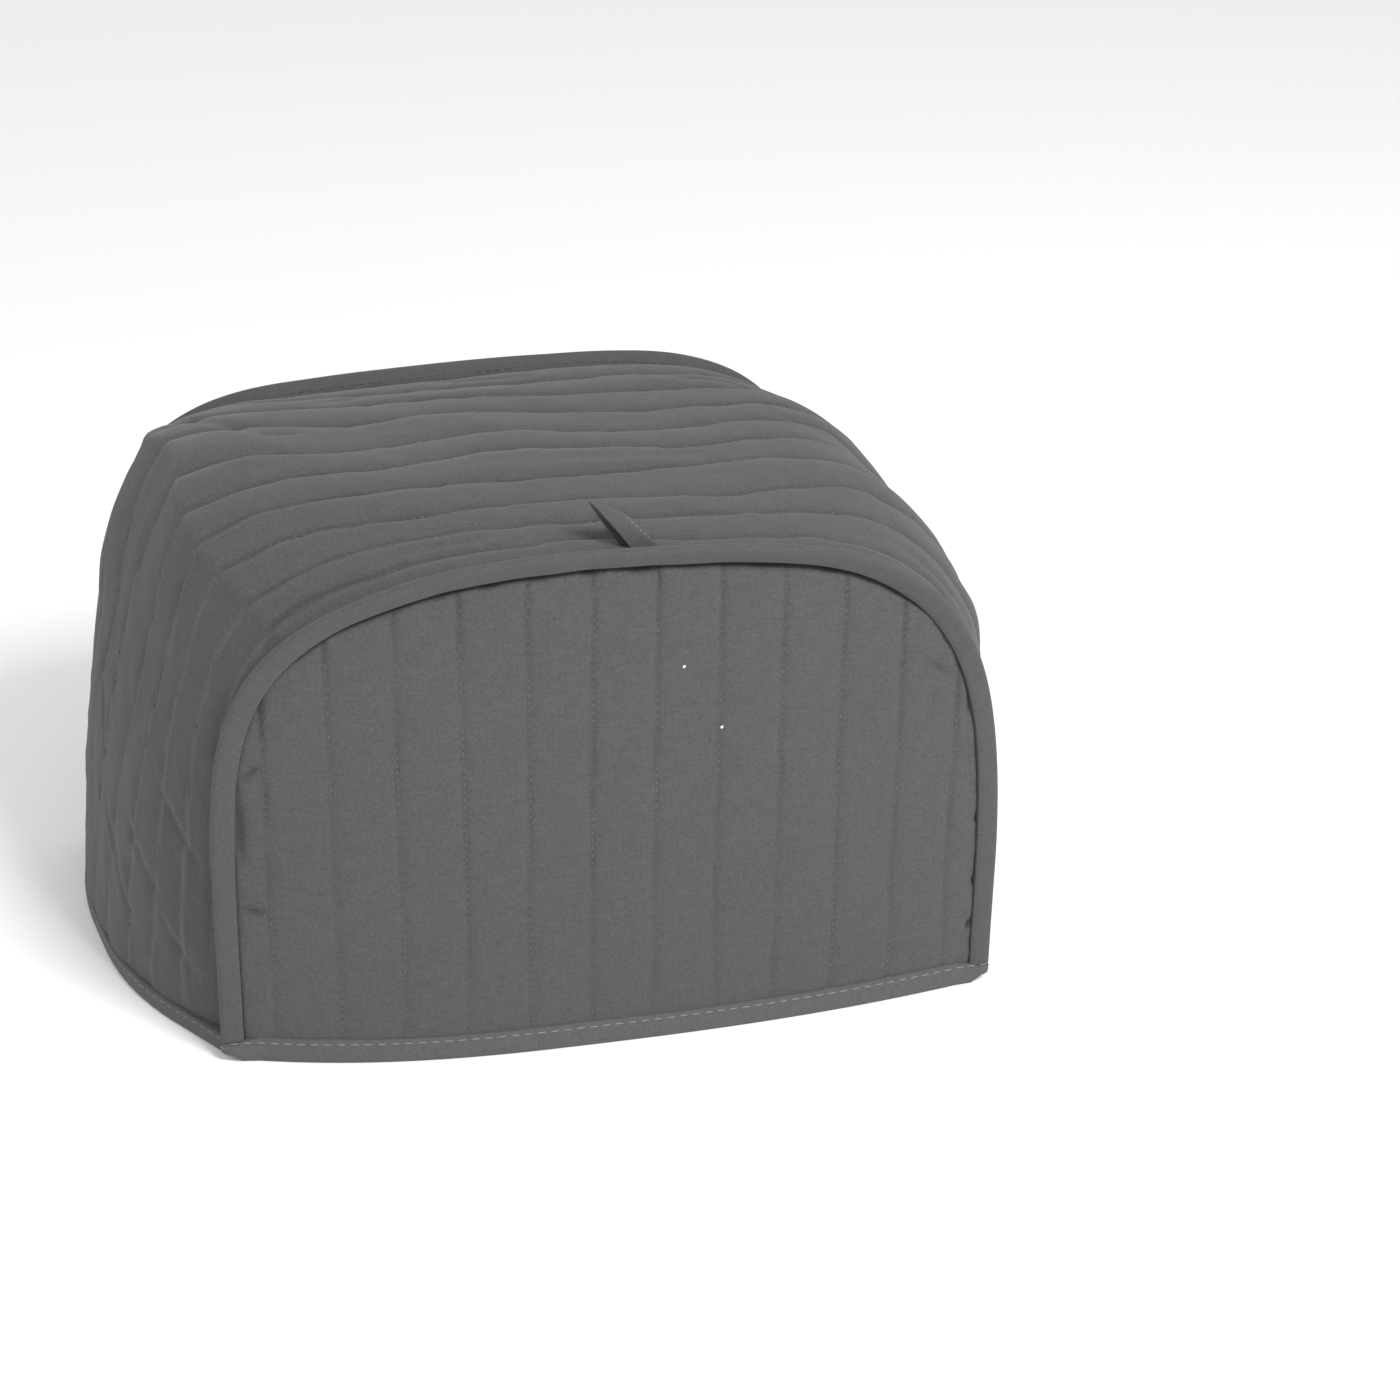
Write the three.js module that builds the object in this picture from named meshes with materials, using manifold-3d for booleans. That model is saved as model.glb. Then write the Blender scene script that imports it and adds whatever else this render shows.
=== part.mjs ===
import * as THREE from 'three';
import { mergeVertices } from 'three/addons/utils/BufferGeometryUtils.js';
import Module from 'manifold-3d';

// A quilted cloth cover for a two-slice toaster. It stands on its hem, hollow and a little slumped.
// Two arched panels, front and back, are sewn to one long gusset strip that runs from the left hem
// over the top to the right hem. Both seams are turned outwards and bound with tape, a wider tape
// binds the hem, and a short loop of tape is caught in the top of the front seam.
// Millimetres, +X to the right of the front, +Y towards the back, +Z up, the hem stands at Z = 0.

// Driving dimensions
const CHANNEL = 24;
const GUSSET_CHANNELS = 9;
const DEPTH = 196;
const CLEARANCE = 0.3;

// Each arch in its own upright plane: where its crown is, how far its feet reach to either side of
// that, its height, how square each shoulder is across and upwards (2 is an ellipse, more is
// squarer), and how much higher its left end is than its right end, as a share of the height
const ARCHES = {
  front: {
    crown: 2.8, left: 151.9, right: 136.8, height: 199.5,
    leftAcross: 2.08, leftUp: 6.4, rightAcross: 3.2, rightUp: 4.3, lean: 0.025,
  },
  middle: {
    crown: -14, left: 182, right: 169, height: 206,
    leftAcross: 7.5, leftUp: 1.5, rightAcross: 4.1, rightUp: 5, lean: 0.008,
  },
  back: {
    crown: -26, left: 152, right: 145, height: 197,
    leftAcross: 5.9, leftUp: 5.5, rightAcross: 3.9, rightUp: 6.5, lean: -0.03,
  },
};
const LEAN_SPAN = 150;

// How far the panels bow outwards at the hem and at the crown: the furthest point, how far to the
// left and right of it the bow comes back to the seam's plane, and how flat the bow is between
const FRONT_BOW = {
  hem: { out: 14, centre: -25, left: 112, right: 170, power: 2.5 },
  crown: { out: 12, centre: 0, left: 150, right: 150, power: 2 },
};
const BACK_BOW = {
  hem: { out: 9, centre: -26, left: 145, right: 145, power: 2.2 },
  crown: { out: 8, centre: -26, left: 145, right: 145, power: 2 },
};
// How soon the gusset swells out to the middle arch behind the front seam and before the back seam
const GUSSET_SWELL = { front: 2.3, back: 3.6 };

// Quilted cloth: its thickness along a seam, how much a channel puffs out on either side, how
// square the puff is, how wide the flattened border along a seam is, and the least share of the
// puff that the gusset keeps there
const SEAM_THICKNESS = 2.6;
const PUFF = { outside: 1.5, inside: 0.7, power: 2.4, border: 10, least: 0.3 };
// The front panel's first row of stitching, from the middle of the front, and how many rows there are
const FIRST_ROW = -137;
const PANEL_ROWS = 12;

// Soft ripples in the rows of quilting on the gusset, as shares of a channel
const ROW_RIPPLES = [
  { size: 0.16, turns: 3.1, start: 0.4 },
  { size: 0.09, turns: 7.3, start: 2.1 },
];

// Deep creases of the gusset: where each lies along the strip and across it, how long and wide it is
// there, how far its line slants across the strip on its length, and how deep it is
const GUSSET_CREASES = [
  { along: 0.37, across: 0.86, length: 0.07, width: 0.035, slant: 0.05, depth: 2.4 },
  { along: 0.17, across: 0.42, length: 0.06, width: 0.05, slant: -0.16, depth: 2.2 },
  { along: 0.08, across: 0.30, length: 0.05, width: 0.05, slant: 0.18, depth: 1.8 },
  { along: 0.86, across: 0.35, length: 0.06, width: 0.05, slant: 0.14, depth: 1.8 },
];
// The sharp fold where the top turns into the left side: where it lies along the strip, how far its
// flanks reach, how round it is, how high it stands, and where it fades out behind and before a seam
const LEFT_FOLD = { along: 0.2885, reach: 0.026, round: 0.0016, rise: 4.6, front: 0.35, back: 0.12 };
const LEFT_SHOULDER = { reach: 0.1, rise: 6.5, back: 0.5 };

// Tapes
const FLANGE = { width: 8.6, seat: 0.55, proud: 1.3 };
// How far each flange leans outwards at its crown and its sides, and how far above the hem that fades
const FLANGE_LEAN = { front: { crown: 0.6, side: 0 }, back: { crown: 0.42, side: 0.15 }, fade: 70 };
const HEM = { height: 8, thickness: 5, earLength: 10, earThickness: 5.8 };
// The loop's foot, how far behind the front seam it stands as a share of the gusset, the tape's
// width and thickness, how wide the loop gapes and where it is widest, its height and how it leans
const LOOP = {
  footX: 4.5, across: 0.032, width: 12, tape: 1.4, gap: 2.6, belly: 0.8, height: 17.5,
  leanLeft: 14, leanCurve: 1.2, leanBack: 3, turn: 0.28, seat: 0.5, leastSlit: 0.24,
};

// Fineness of the meshes
const ARCH_SAMPLES = 720;
const GUSSET_STATIONS = 53;
const TAPE_STATIONS = 61;
const STEPS_PER_CHANNEL = 3;
const PANEL_LEVELS = 8;
const PANEL_STEPS_PER_CHANNEL = 4;
const WALL_LEVELS = [0.18, 0.36, 0.52, 0.64, 0.74, 0.82, 0.88];
const HEM_STEPS = 14;
const LOOP_STEPS = 9;
const EAR_STEPS = 4;
const SEARCH_STEPS = 20;
const SLOPE_STEP = 0.005;
const MERGE_DISTANCE = 1e-4;
const LEAST_MITRE = 0.5;
const COLUMN_GAP = 1;

const FOOT = HEM.height + CLEARANCE;
const UP = new THREE.Vector3(0, 0, 1);
const GREY = { color: 0x646665, roughness: 0.95, metalness: 0 };
const TAPE_TINT = 1.05;

const wasm = await Module();
wasm.setup();

const clamp = THREE.MathUtils.clamp;
const lerp = THREE.MathUtils.lerp;
const smooth = (value, width) => THREE.MathUtils.smoothstep(value, 0, width);

// Solids

function toSolid(geometry) {
  const bare = geometry.clone();
  bare.deleteAttribute('normal');
  bare.deleteAttribute('uv');
  const merged = mergeVertices(bare, MERGE_DISTANCE);
  return new wasm.Manifold(new wasm.Mesh({
    numProp: 3,
    vertProperties: new Float32Array(merged.attributes.position.array),
    triVerts: new Uint32Array(merged.index.array),
  }));
}

function toGeometry(solid) {
  const mesh = solid.getMesh();
  const geometry = new THREE.BufferGeometry();
  geometry.setAttribute('position', new THREE.BufferAttribute(new Float32Array(mesh.vertProperties), 3));
  geometry.setIndex(new THREE.BufferAttribute(new Uint32Array(mesh.triVerts), 1));
  return geometry;
}

function enclosedVolume(points, triangles) {
  let sum = 0;
  for (const [a, b, c] of triangles) {
    sum += points[a].dot(new THREE.Vector3().crossVectors(points[b], points[c]));
  }
  return sum / 6;
}

function closedGeometry(points, triangles) {
  const inside = enclosedVolume(points, triangles) < 0;
  const order = inside ? triangles.map(([a, b, c]) => [a, c, b]) : triangles;
  const geometry = new THREE.BufferGeometry().setFromPoints(points);
  geometry.setIndex(order.flat());
  return geometry;
}

// A closed sheet between an outer and an inner grid of points, joined round its rim
function sheetGeometry(columns, rows, outer, inner) {
  const points = [];
  for (const side of [outer, inner]) {
    for (let j = 0; j < rows; j++) {
      for (let i = 0; i < columns; i++) {
        points.push(side(i, j));
      }
    }
  }
  const at = (layer, i, j) => layer * columns * rows + j * columns + i;
  const triangles = [];
  const quad = (a, b, c, d) => triangles.push([a, b, c], [a, c, d]);
  for (let j = 0; j < rows - 1; j++) {
    for (let i = 0; i < columns - 1; i++) {
      quad(at(0, i, j), at(0, i + 1, j), at(0, i + 1, j + 1), at(0, i, j + 1));
      quad(at(1, i, j), at(1, i, j + 1), at(1, i + 1, j + 1), at(1, i + 1, j));
    }
  }
  for (let i = 0; i < columns - 1; i++) {
    quad(at(0, i, 0), at(1, i, 0), at(1, i + 1, 0), at(0, i + 1, 0));
    quad(at(0, i, rows - 1), at(0, i + 1, rows - 1), at(1, i + 1, rows - 1), at(1, i, rows - 1));
  }
  const last = columns - 1;
  for (let j = 0; j < rows - 1; j++) {
    quad(at(0, 0, j), at(0, 0, j + 1), at(1, 0, j + 1), at(1, 0, j));
    quad(at(0, last, j), at(1, last, j), at(1, last, j + 1), at(0, last, j + 1));
  }
  return closedGeometry(points, triangles);
}

// A closed bar that carries rings of equally many points, with flat ends
function barGeometry(rings) {
  const sides = rings[0].length;
  const points = rings.flat();
  const triangles = [];
  for (let j = 0; j < rings.length - 1; j++) {
    for (let i = 0; i < sides; i++) {
      const next = (i + 1) % sides;
      const [a, b] = [j * sides + i, j * sides + next];
      triangles.push([a, b, b + sides], [a, b + sides, a + sides]);
    }
  }
  const last = (rings.length - 1) * sides;
  for (let i = 1; i < sides - 1; i++) {
    triangles.push([0, i + 1, i], [last, last + i, last + i + 1]);
  }
  return closedGeometry(points, triangles);
}

// The arches

function leanFactor(arch, x) {
  return 1 - arch.lean * x / LEAN_SPAN;
}

function shoulder(arch, x) {
  return x < arch.crown
    ? { reach: arch.left, across: arch.leftAcross, up: arch.leftUp }
    : { reach: arch.right, across: arch.rightAcross, up: arch.rightUp };
}

function archHeight(arch, x) {
  const { reach, across, up } = shoulder(arch, x);
  const share = clamp(Math.abs(x - arch.crown) / reach, 0, 1);
  return arch.height * leanFactor(arch, x) * (1 - share ** across) ** (1 / up);
}

function archReach(arch, side, level) {
  const { reach, across, up } = shoulder(arch, arch.crown + side);
  return arch.crown + side * reach * (1 - level ** up) ** (1 / across);
}

// The arch as a line from its left foot to its right foot, both at the top of the hem tape
function archLine(arch) {
  const points = [];
  for (let i = 0; i <= ARCH_SAMPLES; i++) {
    const turn = Math.PI * (1 - i / ARCH_SAMPLES);
    const side = Math.sign(Math.cos(turn)) || 1;
    const { reach, across, up } = shoulder(arch, arch.crown + side);
    const x = arch.crown + side * reach * Math.abs(Math.cos(turn)) ** (2 / across);
    const z = arch.height * leanFactor(arch, x) * Math.max(Math.sin(turn), 0) ** (2 / up);
    if (z > FOOT) {
      points.push(new THREE.Vector2(x, z));
    }
  }
  points.unshift(new THREE.Vector2(points[0].x, FOOT));
  points.push(new THREE.Vector2(points[points.length - 1].x, FOOT));
  const lengths = [0];
  for (let i = 1; i < points.length; i++) {
    lengths.push(lengths[i - 1] + points[i].distanceTo(points[i - 1]));
  }
  const whole = lengths[lengths.length - 1];
  return (place) => {
    const wanted = clamp(place, 0, 1) * whole;
    const next = clamp(lengths.findIndex((length) => length >= wanted), 1, points.length - 1);
    const share = (wanted - lengths[next - 1]) / (lengths[next] - lengths[next - 1]);
    return points[next - 1].clone().lerp(points[next], share);
  };
}

const lines = {
  front: archLine(ARCHES.front),
  middle: archLine(ARCHES.middle),
  back: archLine(ARCHES.back),
};

function bowAt(form, x) {
  const share = (x - form.centre) / (x < form.centre ? form.left : form.right);
  return form.out * (1 - Math.abs(share) ** form.power);
}

function bow(forms, x, level) {
  return lerp(bowAt(forms.hem, x), bowAt(forms.crown, x), level);
}

const frontFace = (x, z) => -bow(FRONT_BOW, x, z / ARCHES.front.height);
const backFace = (x, z) => DEPTH + bow(BACK_BOW, x, z / ARCHES.back.height);

// Quilting

function puff(phase) {
  const share = phase - Math.floor(phase);
  return 1 - Math.abs(2 * share - 1) ** PUFF.power;
}

// Panels

function panelColumns(arch, firstRow) {
  const levels = [0, ...WALL_LEVELS];
  const walls = [-1, 1].map((side) => levels.map((level) => archReach(arch, side, level)));
  const [left, right] = walls.map((reaches) => reaches[reaches.length - 1]);
  const columns = walls.flat();
  for (let i = -PANEL_STEPS_PER_CHANNEL; i <= (PANEL_ROWS + 1) * PANEL_STEPS_PER_CHANNEL; i++) {
    const x = firstRow + i * CHANNEL / PANEL_STEPS_PER_CHANNEL;
    if (x > left + COLUMN_GAP && x < right - COLUMN_GAP) {
      columns.push(x);
    }
  }
  return columns.sort((a, b) => a - b);
}

function panelGeometry(arch, face, outward, firstRow) {
  const columns = panelColumns(arch, firstRow);
  const lowest = FOOT + (arch.height * WALL_LEVELS[0]) / 2;
  const top = (i) => Math.max(archHeight(arch, columns[i]), lowest);
  const point = (i, j, swell, depth) => {
    const x = columns[i];
    const z = lerp(FOOT, top(i), j / (PANEL_LEVELS - 1));
    const level = clamp(z / (arch.height * leanFactor(arch, x)), 0, 1);
    const room = Math.min(
      top(i) - z,
      z - FOOT,
      x - archReach(arch, -1, level),
      archReach(arch, 1, level) - x,
    );
    const rise = swell * puff((x - firstRow) / CHANNEL) * smooth(room, PUFF.border);
    return new THREE.Vector3(x, face(x, z) + outward * (rise - depth), z);
  };
  return sheetGeometry(
    columns.length,
    PANEL_LEVELS,
    (i, j) => point(i, j, PUFF.outside, 0),
    (i, j) => point(i, j, -PUFF.inside, SEAM_THICKNESS),
  );
}

// Gusset

// A point of the gusset's outer side, without its quilting: along runs from the left foot to the
// right foot, across from the front seam to the back seam
function gussetForm(along, across) {
  const front = lines.front(along);
  const middle = lines.middle(along);
  const back = lines.back(along);
  const near = SEAM_THICKNESS + CLEARANCE;
  const power = across < 0.5 ? GUSSET_SWELL.front : GUSSET_SWELL.back;
  const swell = 1 - Math.abs(2 * across - 1) ** power;
  const plain = front.clone().lerp(back, across);
  const halfway = front.clone().lerp(back, 0.5);
  const place = plain.add(middle.sub(halfway).multiplyScalar(swell));
  const frontY = frontFace(front.x, front.y) + near;
  const backY = backFace(back.x, back.y) - near;
  return new THREE.Vector3(place.x, lerp(frontY, backY, across), place.y);
}

function gussetNormal(along, across) {
  const [a, b] = [clamp(along - SLOPE_STEP, 0, 1), clamp(along + SLOPE_STEP, 0, 1)];
  const [c, d] = [clamp(across - SLOPE_STEP, 0, 1), clamp(across + SLOPE_STEP, 0, 1)];
  const lengthwise = gussetForm(b, across).sub(gussetForm(a, across));
  const crosswise = gussetForm(along, d).sub(gussetForm(along, c));
  return lengthwise.cross(crosswise).normalize();
}

function creaseDepth(along, across) {
  let depth = 0;
  for (const crease of GUSSET_CREASES) {
    const run = (along - crease.along) / crease.length;
    const off = (across - crease.across - crease.slant * run) / crease.width;
    depth += crease.depth * Math.exp(-run * run - off * off);
  }
  return depth;
}

function rowRipple(along) {
  let shift = 0;
  for (const wave of ROW_RIPPLES) {
    shift += wave.size * Math.sin(wave.turns * Math.PI * along + wave.start);
  }
  return shift;
}

function foldRise(along, across) {
  const off = Math.hypot(along - LEFT_FOLD.along, LEFT_FOLD.round) - LEFT_FOLD.round;
  const ridge = LEFT_FOLD.rise * Math.exp(-off / LEFT_FOLD.reach) * smooth(1 - across, LEFT_FOLD.back);
  const near = Math.max(1 - off / LEFT_SHOULDER.reach, 0);
  const shoulder = LEFT_SHOULDER.rise * near * near * smooth(1 - across, LEFT_SHOULDER.back);
  return (ridge + shoulder) * smooth(across, LEFT_FOLD.front);
}

function gussetPoint(along, across, swell, depth) {
  const normal = gussetNormal(along, across);
  const room = DEPTH * Math.min(across, 1 - across);
  const fade = smooth(room, PUFF.border);
  const phase = across * GUSSET_CHANNELS + rowRipple(along) * fade;
  const shape = foldRise(along, across) - creaseDepth(along, across) * fade;
  const rise = shape + swell * puff(phase) * Math.max(fade, PUFF.least) - depth;
  const point = gussetForm(along, across).addScaledVector(normal, rise);
  if (along === 0 || along === 1) {
    point.z = FOOT;
  }
  return point;
}

function gussetGeometry() {
  const columns = GUSSET_CHANNELS * STEPS_PER_CHANNEL + 1;
  const along = (j) => j / (GUSSET_STATIONS - 1);
  const across = (i) => i / (columns - 1);
  return sheetGeometry(
    columns,
    GUSSET_STATIONS,
    (i, j) => gussetPoint(along(j), across(i), PUFF.outside, 0),
    (i, j) => gussetPoint(along(j), across(i), -PUFF.inside, SEAM_THICKNESS),
  );
}

// Tapes on the two seams

function archNormal(line, along) {
  const run = line(Math.min(along + SLOPE_STEP, 1)).sub(line(Math.max(along - SLOPE_STEP, 0)));
  return new THREE.Vector2(-run.y, run.x).normalize();
}

// The tape's section, as shares of its width outwards from the seam and of its thickness
const TAPE_SECTION = [
  { out: 0, thick: -0.5 },
  { out: 0.8, thick: -0.5 },
  { out: 0.97, thick: -0.25 },
  { out: 0.97, thick: 0.25 },
  { out: 0.8, thick: 0.5 },
  { out: 0, thick: 0.5 },
];

function seamTapeGeometry(line, face, outward, { crown, side }) {
  const rings = [];
  for (let j = 0; j < TAPE_STATIONS; j++) {
    const along = j / (TAPE_STATIONS - 1);
    const foot = line(along);
    const normal = archNormal(line, along);
    const upwards = clamp(normal.y, 0, 1) ** 2;
    const lean = lerp(side, crown, upwards) * smooth(foot.y - FOOT, FLANGE_LEAN.fade);
    const centre = outward * (FLANGE.proud - SEAM_THICKNESS) / 2 + face(foot.x, foot.y);
    const thickness = FLANGE.proud + SEAM_THICKNESS;
    rings.push(TAPE_SECTION.map(({ out, thick }) => {
      const reach = FLANGE.width * out;
      const shift = thick * thickness;
      const radial = FLANGE.seat + reach * Math.cos(lean) - outward * shift * Math.sin(lean);
      const y = centre + outward * reach * Math.sin(lean) + shift * Math.cos(lean);
      const z = along === 0 || along === 1 ? FOOT : foot.y + normal.y * radial;
      return new THREE.Vector3(foot.x + normal.x * radial, y, z);
    }));
  }
  return barGeometry(rings);
}

// Tape round the hem

function hemPath() {
  const inset = SEAM_THICKNESS / 2;
  const leftFoot = lines.front(0).x + inset;
  const rightFoot = lines.front(1).x - inset;
  const backLeft = lines.back(0).x + inset;
  const backRight = lines.back(1).x - inset;
  const path = [];
  for (let i = 0; i <= HEM_STEPS; i++) {
    const x = lerp(leftFoot, rightFoot, i / HEM_STEPS);
    path.push(new THREE.Vector2(x, frontFace(x, FOOT) + inset));
  }
  for (let i = 1; i < HEM_STEPS; i++) {
    const foot = gussetForm(1, i / HEM_STEPS);
    path.push(new THREE.Vector2(foot.x - inset, foot.y));
  }
  for (let i = 0; i <= HEM_STEPS; i++) {
    const x = lerp(backRight, backLeft, i / HEM_STEPS);
    path.push(new THREE.Vector2(x, backFace(x, FOOT) - inset));
  }
  for (let i = HEM_STEPS - 1; i > 0; i--) {
    const foot = gussetForm(0, i / HEM_STEPS);
    path.push(new THREE.Vector2(foot.x + inset, foot.y));
  }
  return path;
}

// Moves a closed outline sideways, with mitred corners; a positive distance moves it outwards
function offsetOutline(path, distance) {
  return path.map((point, i) => {
    const before = path[(i + path.length - 1) % path.length];
    const after = path[(i + 1) % path.length];
    const one = point.clone().sub(before).normalize();
    const two = after.clone().sub(point).normalize();
    const normal = new THREE.Vector2(one.y + two.y, -one.x - two.x).normalize();
    const mitre = Math.max(normal.dot(new THREE.Vector2(one.y, -one.x)), LEAST_MITRE);
    return point.clone().addScaledVector(normal, distance / mitre);
  });
}

function hemGeometry() {
  const path = hemPath();
  const ring = new THREE.Shape(offsetOutline(path, HEM.thickness / 2));
  ring.holes.push(new THREE.Path(offsetOutline(path, -HEM.thickness / 2)));
  let solid = toSolid(new THREE.ExtrudeGeometry(ring, { depth: HEM.height, bevelEnabled: false }));
  const corners = [
    { foot: path[0], side: -1 },
    { foot: path[HEM_STEPS], side: 1 },
    { foot: path[2 * HEM_STEPS], side: 1 },
    { foot: path[3 * HEM_STEPS], side: -1 },
  ];
  for (const { foot, side } of corners) {
    const half = HEM.earThickness / 2;
    const ear = new THREE.Shape();
    ear.moveTo(0, -half);
    ear.lineTo(HEM.earLength - half, -half);
    ear.absarc(HEM.earLength - half, 0, half, -Math.PI / 2, Math.PI / 2, false);
    ear.lineTo(0, half);
    ear.closePath();
    const geometry = new THREE.ExtrudeGeometry(ear, {
      depth: HEM.height,
      bevelEnabled: false,
      curveSegments: EAR_STEPS,
    });
    geometry.rotateZ(side > 0 ? 0 : Math.PI);
    geometry.translate(foot.x, foot.y, 0);
    solid = solid.add(toSolid(geometry));
  }
  return toGeometry(solid);
}

// Loop of tape on the front seam

// One side of the loop, from its foot to its tip, set in from the tape's outer side by inset
function loopSide(inset) {
  const plain = (LOOP.tape + LOOP.leastSlit) / 2 - inset;
  const side = [];
  for (let i = 0; i <= LOOP_STEPS; i++) {
    const share = i / LOOP_STEPS;
    const belly = (LOOP.gap / 2) * Math.sin(Math.PI * share ** LOOP.belly);
    side.push(new THREE.Vector2(plain + belly, share * (LOOP.height - inset)));
  }
  return side;
}

function bothSides(side) {
  const other = side.map(({ x, y }) => new THREE.Vector2(-x, y)).reverse();
  return [...side, ...other];
}

function loopGeometry() {
  const shape = new THREE.Shape(bothSides(loopSide(0)));
  const slit = loopSide(LOOP.tape).filter(({ x, y }) => x > LOOP.leastSlit && y > LOOP.tape);
  shape.holes.push(new THREE.Path(bothSides(slit)));
  const geometry = new THREE.ExtrudeGeometry(shape, { depth: LOOP.width, steps: 1, bevelEnabled: false });
  // The profile lies across the seam; the tape's width runs along it
  geometry.translate(0, 0, -LOOP.width / 2);
  geometry.rotateX(Math.PI / 2);
  geometry.rotateZ(Math.PI / 2);
  const position = geometry.attributes.position;
  const point = new THREE.Vector3();
  const seat = loopSeat();
  for (let i = 0; i < position.count; i++) {
    point.fromBufferAttribute(position, i);
    const lift = clamp(point.z / LOOP.height, 0, 1);
    point.applyAxisAngle(UP, LOOP.turn * lift);
    point.x -= LOOP.leanLeft * lift ** LOOP.leanCurve;
    point.y += LOOP.leanBack * lift;
    point.add(seat);
    position.setXYZ(i, point.x, point.y, point.z);
  }
  return toGeometry(toSolid(geometry));
}

// The loop's foot stands just behind the seam tape, on the gusset
function loopSeat() {
  let [low, high] = [0, 1];
  for (let i = 0; i < SEARCH_STEPS; i++) {
    const half = (low + high) / 2;
    [low, high] = gussetForm(half, LOOP.across).x < LOOP.footX ? [half, high] : [low, half];
  }
  const seat = gussetPoint(low, LOOP.across, PUFF.outside, 0);
  seat.z += LOOP.seat;
  return seat;
}

// The whole cover

function piece(name, geometry, tint = 1) {
  geometry.computeVertexNormals();
  const material = new THREE.MeshStandardMaterial(GREY);
  material.color.multiplyScalar(tint);
  const mesh = new THREE.Mesh(geometry, material);
  mesh.name = name;
  return mesh;
}

const cover = new THREE.Group();
cover.add(
  piece('front_panel', panelGeometry(ARCHES.front, frontFace, -1, FIRST_ROW)),
  piece('back_panel', panelGeometry(ARCHES.back, backFace, 1, FIRST_ROW + ARCHES.back.crown)),
  piece('gusset', gussetGeometry()),
  piece('front_binding', seamTapeGeometry(lines.front, frontFace, -1, FLANGE_LEAN.front), TAPE_TINT),
  piece('back_binding', seamTapeGeometry(lines.back, backFace, 1, FLANGE_LEAN.back), TAPE_TINT),
  piece('hem_binding', hemGeometry(), TAPE_TINT),
  piece('loop', loopGeometry(), TAPE_TINT),
);

// The origin is the middle of the footprint, on the floor
const box = new THREE.Box3().setFromObject(cover);
const middle = box.getCenter(new THREE.Vector3());
cover.position.set(-middle.x, -middle.y, 0);

export default cover;
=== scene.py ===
"""A quilted toaster cover: its cloth, bound seams, hem tape, loop, thread and finish.

Sizes are in millimetres in the cover's own axes: +X to the right of the front, +Y towards the back,
+Z up. The origin is the foot of the middle of the front seam. Builder.place() turns a point into
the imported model's metres.
"""

import logging
import math
from dataclasses import dataclass, field
from enum import Enum

import bpy
import numpy as np
from mathutils import Matrix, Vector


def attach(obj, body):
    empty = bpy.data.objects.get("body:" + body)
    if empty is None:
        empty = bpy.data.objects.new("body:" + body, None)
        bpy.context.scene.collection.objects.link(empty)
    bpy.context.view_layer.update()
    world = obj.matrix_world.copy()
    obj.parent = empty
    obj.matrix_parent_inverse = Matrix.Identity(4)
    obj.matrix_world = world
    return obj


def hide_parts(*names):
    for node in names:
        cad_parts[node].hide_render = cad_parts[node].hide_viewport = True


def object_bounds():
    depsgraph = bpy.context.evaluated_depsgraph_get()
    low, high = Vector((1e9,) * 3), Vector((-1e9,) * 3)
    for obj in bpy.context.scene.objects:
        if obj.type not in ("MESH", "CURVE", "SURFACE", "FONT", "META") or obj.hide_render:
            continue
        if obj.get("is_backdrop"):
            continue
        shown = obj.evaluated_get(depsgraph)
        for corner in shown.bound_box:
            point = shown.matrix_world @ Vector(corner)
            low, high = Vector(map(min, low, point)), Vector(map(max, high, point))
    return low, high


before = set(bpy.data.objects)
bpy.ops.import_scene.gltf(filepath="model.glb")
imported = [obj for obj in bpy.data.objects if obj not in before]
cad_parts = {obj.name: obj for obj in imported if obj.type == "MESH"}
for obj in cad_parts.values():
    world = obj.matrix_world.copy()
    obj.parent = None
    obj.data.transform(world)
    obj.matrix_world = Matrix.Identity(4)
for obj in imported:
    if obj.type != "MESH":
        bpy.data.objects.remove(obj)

Array = np.ndarray
LOG = logging.getLogger("cover")
METRE = 1000.0
FLAT_UNIT = 100.0
CLOTH_SLOT = "quilted_cloth"
TAPE_SLOT = "binding_tape"


class Side(Enum):
    """Which way an upright piece faces."""

    FRONT = -1
    BACK = 1


# Small sums on arrays


def smoothstep(value: Array, width: float) -> Array:
    """Rises softly from 0 to 1.

    Args:
        value: where on the ramp each point is.
        width: the value at which the ramp reaches 1.

    Returns:
        The height of the ramp at each point.
    """
    share = np.clip(value / width, 0.0, 1.0)
    return share * share * (3.0 - 2.0 * share)


def hump(distance: Array, width: float) -> Array:
    """A soft bump that is 1 at no distance and fades over width."""
    return np.exp(-((distance / width) ** 2))


def at_least(least: float, share: Array) -> Array:
    """Rises from a least value to 1 as the share goes from 0 to 1."""
    return least + (1 - least) * share


def unevenness(u: Array, v: Array, pitch_u: float, pitch_v: float, seed: int) -> Array:
    """Soft random hills, the same in each run.

    Args:
        u: the first coordinate of each point.
        v: the second coordinate of each point.
        pitch_u: how far apart the hills are along u.
        pitch_v: how far apart the hills are along v.
        seed: which set of hills.

    Returns:
        A height of about -1 to 1 at each point.
    """
    cells = 64
    heights = np.random.default_rng(seed).uniform(-1.0, 1.0, (cells, cells))
    a, b = np.asarray(u) / pitch_u, np.asarray(v) / pitch_v
    i, j = np.floor(a).astype(int), np.floor(b).astype(int)
    s, t = smoothstep(a - i, 1.0), smoothstep(b - j, 1.0)
    left, right = i % cells, (i + 1) % cells
    near, far = j % cells, (j + 1) % cells
    low = heights[left, near] * (1 - s) + heights[right, near] * s
    high = heights[left, far] * (1 - s) + heights[right, far] * s
    return low * (1 - t) + high * t


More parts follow.
